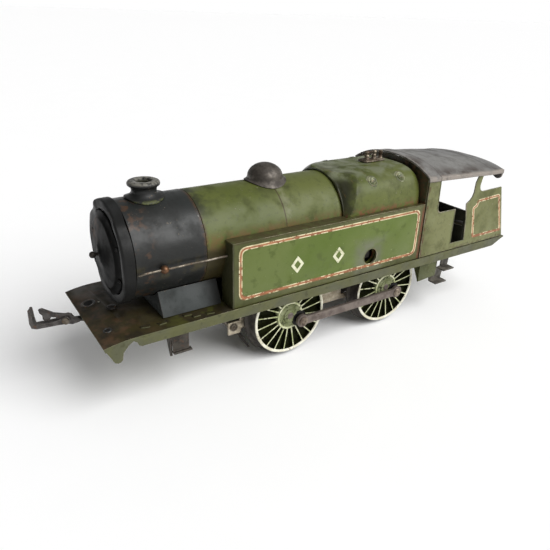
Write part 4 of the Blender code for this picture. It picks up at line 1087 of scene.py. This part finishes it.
def handrail(side_name, side):
    """Slightly wavy wire from the smokebox to the tank, and its one knob."""
    start, y, z = -64.0, side * 21.3, 55.5
    bend = [(-66.6, side * 20.0, 54.6), (-66.3, side * 20.45, 54.8), (-65.9, side * 20.85, 55.05),
        (-65.4, side * 21.15, 55.3), (-64.8, y, 55.45), (start, y, z)]
    length = TANK_LOW.x - 0.3 - start
    straight = [(start + length * i / 8, y, z + 0.06 * math.sin(i * 1.9)) for i in range(1, 9)]
    present(tube(f"handrail_{side_name}_wire", bend + straight, 0.43, RAIL_STEEL), f"handrail_{side_name}")
    knob = [(0, 1.6), (0.6, 1.5), (1.15, 1.15), (1.5, 0.6), (1.6, 0), (1.5, -0.6), (1.1, -1.1),
        (0.8, -1.3),
        (0.75, -1.6), (0, -1.6)]
    turned(f"handrail_knob_{side_name}", knob, (-57.4, y, z), outward(side), KNOB_BRASS)


def boiler():
    present(boiler_tube("smokebox_tube", BOILER_R + 0.1, -67.2, SMOKEBOX_END, SMOKEBOX_PAINT), "smokebox")
    barrel()
    front_ring()
    door()
    chimney()
    dome()
    firebox()
    valve_set()
    for side_name, side in SIDES.items():
        handrail(side_name, side)


# Tanks, cab and bunker


def lining(name, corners, radius, side, out):
    """Two cream lines with an orange one between, on the outer face at out."""
    parts = []
    inner, outer = side * (out - 0.1), side * (out + 0.05)
    lines = ((0, 0.5, CREAM_LINE), (0.5, 1.15, ORANGE_LINE), (1.15, 1.6, CREAM_LINE))
    for i, (start, end, material) in enumerate(lines):
        outlines = [rounded_corners(inset(corners, depth), radius - depth * 0.6) for depth in (start, end)]
        parts.append(plate(f"{name}_{i}", outlines, "XZ", inner, outer, [material]))
    return merge(name, parts)


DIAMONDS, DIAMOND_HALF = ((-0.8, 46.6), (21.1, 46.3)), (3.3, 3.9)


def tank_lining():
    """Lining and two plain diamonds on each tank."""
    half_x, half_z = DIAMOND_HALF
    for side_name, side in SIDES.items():
        tank = f"{side_name}_tank"
        inner, outer = side * (TANK_OUT - 0.1), side * (TANK_OUT + 0.06)
        add_on(lining(tank + "_lining", rectangle(*TANK_LINE), 3.4, side, TANK_OUT), tank)
        for i, (x, z) in enumerate(DIAMONDS):
            diamond = [(x, z - half_z), (x + half_x, z), (x, z + half_z), (x - half_x, z)]
            outlines = [rounded_corners(diamond, 0.4), inset(diamond, 1.25)]
            add_on(plate(f"{tank}_mark_{i}", outlines, "XZ", inner, outer, [CREAM_MARK]), tank)


def bunker_lining():
    corners = [(110.6, 37.3), (134.6, 37.3), (127.6, 59.0), (110.2, 58.2), (109.6, 55.6), (106.9, 54.6)]
    for side_name, side in SIDES.items():
        add_on(lining(f"{side_name}_bunker_lining", corners, 1.6, side, CAB_OUT), f"{side_name}_cab_side")


def key_hole_ring():
    """Burred edge of the winding hole."""
    r = KEY_HOLE_R
    profile = [(r - 0.02, 0.05), (r + 0.25, 0.1), (r + 0.5, 0.02), (r + 0.5, -0.3), (r - 0.02, -0.6)]
    at = (KEY_X, LEFT * TANK_OUT, KEY_Z)
    ring = lathe("winding_hole_edge", profile, at, outward(LEFT), EDGE_GREEN, sides=48, ring=True)
    add_on(ring, "left_tank")


WINDOW_EDGE = [(101.9, 57.2), (103.6, 49.0), (104.7, 37.4), (94.3, 37.4), (93.9, 55.7),
    *arc(83.6, 58.5, 2.8, 270, 180, 4), (80.3, 71.8)]


def cab_trim():
    """Thin bead round the window and doorway, and the rivets at the foot of each side."""
    head = [(0, 0.28), (0.4, 0.22), (0.65, 0), (0.65, -0.2), (0, -0.2)]
    for side_name, side in SIDES.items():
        y = side * (CAB_OUT - 0.05)
        edge = [(x - 0.25, y, z) for x, z in WINDOW_EDGE]
        bead = tube(f"{side_name}_window_bead", edge, 0.32, EDGE_GREEN)
        add_on(bead, f"{side_name}_cab_side")
        rivets = []
        for i, x in enumerate((76.5, 90.5, 108.5, 131.5)):
            at = (x, side * CAB_OUT, 35.6)
            rivets.append(lathe(f"rivet_{i}", head, at, outward(side), CAB_GREEN, sides=16))
        add_on(merge(f"{side_name}_cab_rivets", rivets), f"{side_name}_cab_side")


ROOF_FRONT, ROOF_REAR, ROOF_HALF = 71.6, 126.3, 26.2


def roof_height(x, y):
    """Top of the roof: an arch that is lower at the back, with two pressed ribs across it."""
    t = (x - ROOF_FRONT) / (ROOF_REAR - ROOF_FRONT)
    height = 74.0 - 2.3 * t + (7.0 - 3.6 * t) * (1 - (abs(y) / ROOF_HALF) ** 2.5)
    ribs = sum(math.exp(-((x - ROOF_FRONT - at) / 0.7) ** 2) for at in (7.5, 47.0))
    return height + 0.28 * ribs * (1 - (abs(y) / ROOF_HALF) ** 6)


def roof():
    """Pressed roof with ribs, rolled eaves and a lip across the back."""
    columns = [ROOF_HALF * math.sin(math.pi / 2 * k / 20) for k in range(-20, 21)]
    spans = [0, 0.3] + [5.6 + 0.4 * i for i in range(10)] + [14 + 5 * i for i in range(7)]
    spans += [45.2 + 0.4 * i for i in range(10)] + [50.5, 54.7]
    rows = []
    for span in sorted(spans):
        x = ROOF_FRONT + span
        drop = roof_height(x, ROOF_HALF)
        eave = [(x, ROOF_HALF + 0.15 - 0.15 * (1 - i / 4) ** 2, drop - 0.45 * i) for i in range(1, 5)]
        left = [(x, -y, z) for x, y, z in reversed(eave)]
        rows.append([*left, *[(x, y, roof_height(x, y)) for y in columns], *eave])
    skin = make("roof_skin", loft_mesh("roof_skin", rows), [ROOF_PAINT, EDGE_ROOF])
    dented(skin.data, 0.3, 18, 11)
    thicken(skin, 0.65)
    bevel(skin, 0.15, 1, 1)
    present(merge("roof_pressing", [skin, roof_lip(columns[::4])]), "cab_roof")


def roof_lip(columns):
    """Turned-down lip across the back, with rounded lower corners."""
    x = ROOF_REAR - 0.8
    corner = arc(ROOF_HALF - 3.0, roof_height(x, ROOF_HALF) - 2.2, 2.7, 0, -120, 8)
    above = [(y, roof_height(x, y) - 0.4) for y in columns]
    below = [(y, roof_height(x, y) - 3.6) for y in reversed(columns) if abs(y) < 21]
    outline = above + corner + below + [(-y, z) for y, z in reversed(corner)]
    return plate("roof_lip", [outline], "YZ", x, x + 0.7, [ROOF_PAINT, EDGE_ROOF], 0.2)


def bodywork():
    refined("footplate", DECK_PAINT, EDGE_GREEN, 0.25)
    refined("smokebox_saddle", SADDLE_PAINT, EDGE_BLACK, 0.2)
    for side_name in SIDES:
        refined(f"{side_name}_tank", TANK_GREEN, EDGE_GREEN, 0.4)
        refined(f"{side_name}_cab_side", CAB_GREEN, EDGE_GREEN, 0.22)
        refined(f"{side_name}_front_step", STEP_METAL, EDGE_STEEL, 0.15)
        refined(f"{side_name}_rear_step", STEP_PAINT, EDGE_STEEL, 0.15)
    refined("cab_front", CAB_GREEN, EDGE_GREEN, 0.2)
    # The bulkhead takes the near-black inside paint: painted shade, as it stands in the cab's shadow.
    refined("bunker_bulkhead", INSIDE_PAINT_AND_SHADE, EDGE_BLACK, 0.15)
    refined("bunker_back", CAB_GREEN, EDGE_GREEN, 0.2)
    tank_lining()
    bunker_lining()
    key_hole_ring()
    cab_trim()
    roof()
    deck_tabs()
    deck_eyelets()


TABS = ((-66.0, 20.6, 12), (-59.6, 21.4, -6), (-48.8, 20.2, 8), (-46.0, 22.6, 0), (-40.4, 23.2, 10))


def deck_tabs():
    """Folded-over fixing tabs, each beside its slit."""
    tabs = []
    bottom = DECK_Z - 0.1
    fold = rounded_corners(rectangle(-1.6, -0.7, 1.6, 0.7), 0.3, 2)
    for i, (x, y, degrees) in enumerate(TABS):
        turn = Matrix.Rotation(math.radians(degrees), 2)
        for side in SIDES.values():
            corners = [turn @ Vector(corner) for corner in fold]
            outline = [(x + corner.x, side * (y + corner.y)) for corner in corners]
            top = DECK_Z + 0.42
            tabs.append(plate(f"tab_{i}_{side}", [outline], "XY", bottom, top, [DECK_PAINT], 0.15))
            # Each slit is a thin near-black plate on the deck: painted shade standing for the opening.
            slit = rectangle(x - 2.1, side * (y - 1.25), x + 2.1, side * (y - 0.8))
            tabs.append(plate(f"slit_{i}_{side}", [slit], "XY", bottom, DECK_Z + 0.03, [SLOT_SHADE]))
    add_on(merge("deck_tabs", tabs), "footplate")


def deck_eyelets():
    """Oval eyelets and a bright rivet in the sloping front of the deck."""
    eye = [(0.62, 0.02), (0.68, 0.16), (0.9, 0.22), (1.0, 0.05), (1.0, -0.2), (0.62, -0.2)]
    disc = [(0, 0.03), (0.7, 0.03), (0.7, -0.2), (0, -0.2)]
    eyelets = []
    # The two eyelets' near-black discs are painted shade standing for their holes; the third disc is a
    # bright rivet.
    places = ((-78.6, 9.3, 2.9, 3.1, SLOT_SHADE), (-78.6, -15.0, 1.7, 1.8, SLOT_SHADE),
        (-74.8, 7.6, 0.7, 0.8, RIM_CREAM))
    for i, (x, y, along, across, inner) in enumerate(places):
        ahead = (-71.5 - x) / 12
        placing = (Matrix.Translation(point(x, y, DECK_Z - 1.5 * ahead ** 2))
            @ Matrix.Rotation(-0.25 * smooth_step(ahead), 4, "Y")
            @ Matrix.Diagonal((along, across, 1.0, 1)) @ Matrix.Translation(-point(0, 0, 0)))
        ring = lathe_mesh(f"eyelet_{i}", eye, (0, 0, 0), UP, sides=40, ring=True)
        hole = lathe_mesh(f"eyelet_hole_{i}", disc, (0, 0, 0), UP, sides=40)
        for mesh, material in ((ring, EDGE_BLACK), (hole, inner)):
            mesh.transform(placing)
            eyelets.append(make(mesh.name, mesh, [material]))
    add_on(merge("deck_eyelets", eyelets), "footplate")


# Motor and couplings

PILLARS = {"front_pillar": (-24.1, 16.9), "middle_pillar": (27.4, 53.6), "rear_pillar": (68.4, 47.4)}


def motor():
    for side_name in SIDES:
        refined(f"{side_name}_motor_plate", NICKEL, EDGE_STEEL, 0.15)
    profile = both_ways([(0, 13.2), (0.5, 13.2), (0.6, 13.0), (0.9, 13.0), (1.0, 13.35), (1.4, 13.4),
        (1.75, 13.1), (1.8, 12.8), (0.9, 12.8), (0.9, 11.3), (1.8, 11.3)])
    for node, (x, z) in PILLARS.items():
        turned(node, profile, (x, 0, z), outward(RIGHT), RAIL_STEEL)
    for node in ("great_gear", "intermediate_gear", "axle_gear"):
        refined(node, GEAR_BRASS, GEAR_BRASS, 0.1)
    refined("mainspring", SPRING_STEEL, SPRING_STEEL, 0.1)
    for node in ("intermediate_shaft", "winding_arbor"):
        refined(node, DARK_STEEL, EDGE_BLACK, 0.2)
    for node in ("brake_lever", "reverse_lever"):
        refined(node, RAIL_STEEL, EDGE_STEEL, 0.2)


def couplings():
    for end in ("front", "rear"):
        refined(f"{end}_coupling_hook", COUPLING_METAL, EDGE_STEEL, 0.22)
        refined(f"{end}_coupling_link", COUPLING_METAL, EDGE_STEEL, 0.18)
        refined(f"{end}_link_pin", RAIL_STEEL, RAIL_STEEL, 0.12)
        refined(f"{end}_coupling_rivet", DARK_STEEL, EDGE_BLACK, 0.2)


# Table, lights and camera

# How the light changes with each part of the direction: from, to, and the strength at both ends.
AHEAD, ACROSS, HORIZON = (-0.7, 0.3, 0.15, 1.0), (0.5, -0.6, 0.36, 0.75), (0.16, 0.10, 0, 1.0)


def white_room():
    """Even grey light, brighter from the engine's left, dim from ahead and white along the horizon."""
    world = bpy.data.worlds.new("white_room")
    world.use_nodes = True
    nodes, links = world.node_tree.nodes, world.node_tree.links
    split = nodes.new("ShaderNodeSeparateXYZ")
    links.new(nodes.new("ShaderNodeTexCoord").outputs["Generated"], split.inputs[0])
    light = None
    steps = ((AHEAD, None), (ACROSS, "MULTIPLY"), (HORIZON, "MAXIMUM"))
    for output, (limits, joining) in zip(split.outputs, steps):
        step = nodes.new("ShaderNodeMapRange")
        step.interpolation_type = "SMOOTHSTEP"
        links.new(output, step.inputs[0])
        for socket, value in zip(step.inputs[1:], limits):
            socket.default_value = value
        joined = step.outputs[0]
        if joining:
            both = nodes.new("ShaderNodeMath")
            both.operation = joining
            links.new(light, both.inputs[0])
            links.new(joined, both.inputs[1])
            joined = both.outputs[0]
        light = joined
    links.new(light, nodes["Background"].inputs["Strength"])
    nodes["Background"].inputs["Color"].default_value = (1, 1, 1, 1)
    bpy.context.scene.world = world


TABLE_REACH = 60.0
TABLE_WHITES = (0.95, 0.95, 0.95, 1), (0.975, 0.975, 0.975, 1)
KEY_AZIMUTH, KEY_ELEVATION, KEY_SPREAD, KEY_STRENGTH = -62, 42, 52, 3.2


def table_and_lights():
    bm = bmesh.new()
    bmesh.ops.create_grid(bm, x_segments=4, y_segments=4, size=TABLE_REACH)
    mesh = bpy.data.meshes.new("table_top")
    bm.to_mesh(mesh)
    bm.free()
    white = Paint("table_white", TABLE_WHITES[0])
    white.wash(white.noise(40, 80, 3), TABLE_WHITES[1])
    make("table_top", mesh, [white.finish(0.9)])
    white_room()
    light = bpy.data.lights.new("key_light", "SUN")
    light.energy = KEY_STRENGTH
    light.angle = math.radians(KEY_SPREAD)
    lamp = bpy.data.objects.new("key_light", light)
    lamp.rotation_euler = (0, math.radians(90 - KEY_ELEVATION), math.radians(KEY_AZIMUTH))
    bpy.context.scene.collection.objects.link(lamp)
    bpy.context.scene.view_settings.view_transform = "Standard"


YAW, PITCH, ROLL = math.radians(33.91), math.radians(25.23), math.radians(1.83)
CAMERA_AT = (-126.06, -195.09, 140.83)
SENSOR = 36
LENS_PER_SENSOR = 556.4 / 550
NEAREST = 0.01


def camera():
    ahead = Vector((math.sin(YAW) * math.cos(PITCH), math.cos(YAW) * math.cos(PITCH), -math.sin(PITCH)))
    level = Vector((math.cos(YAW), -math.sin(YAW), 0))
    above = level.cross(ahead)
    right = level * math.cos(ROLL) + above * math.sin(ROLL)
    up = above * math.cos(ROLL) - level * math.sin(ROLL)
    data = bpy.data.cameras.new("view")
    data.sensor_width = SENSOR
    data.lens = SENSOR * LENS_PER_SENSOR
    data.clip_start = NEAREST
    eye = bpy.data.objects.new("view", data)
    bpy.context.scene.collection.objects.link(eye)
    turned_to = Matrix((right, up, -ahead)).transposed().to_4x4()
    eye.matrix_world = Matrix.Translation(point(*CAMERA_AT)) @ turned_to
    bpy.context.scene.camera = eye


running_gear()
boiler()
bodywork()
motor()
couplings()
table_and_lights()
camera()
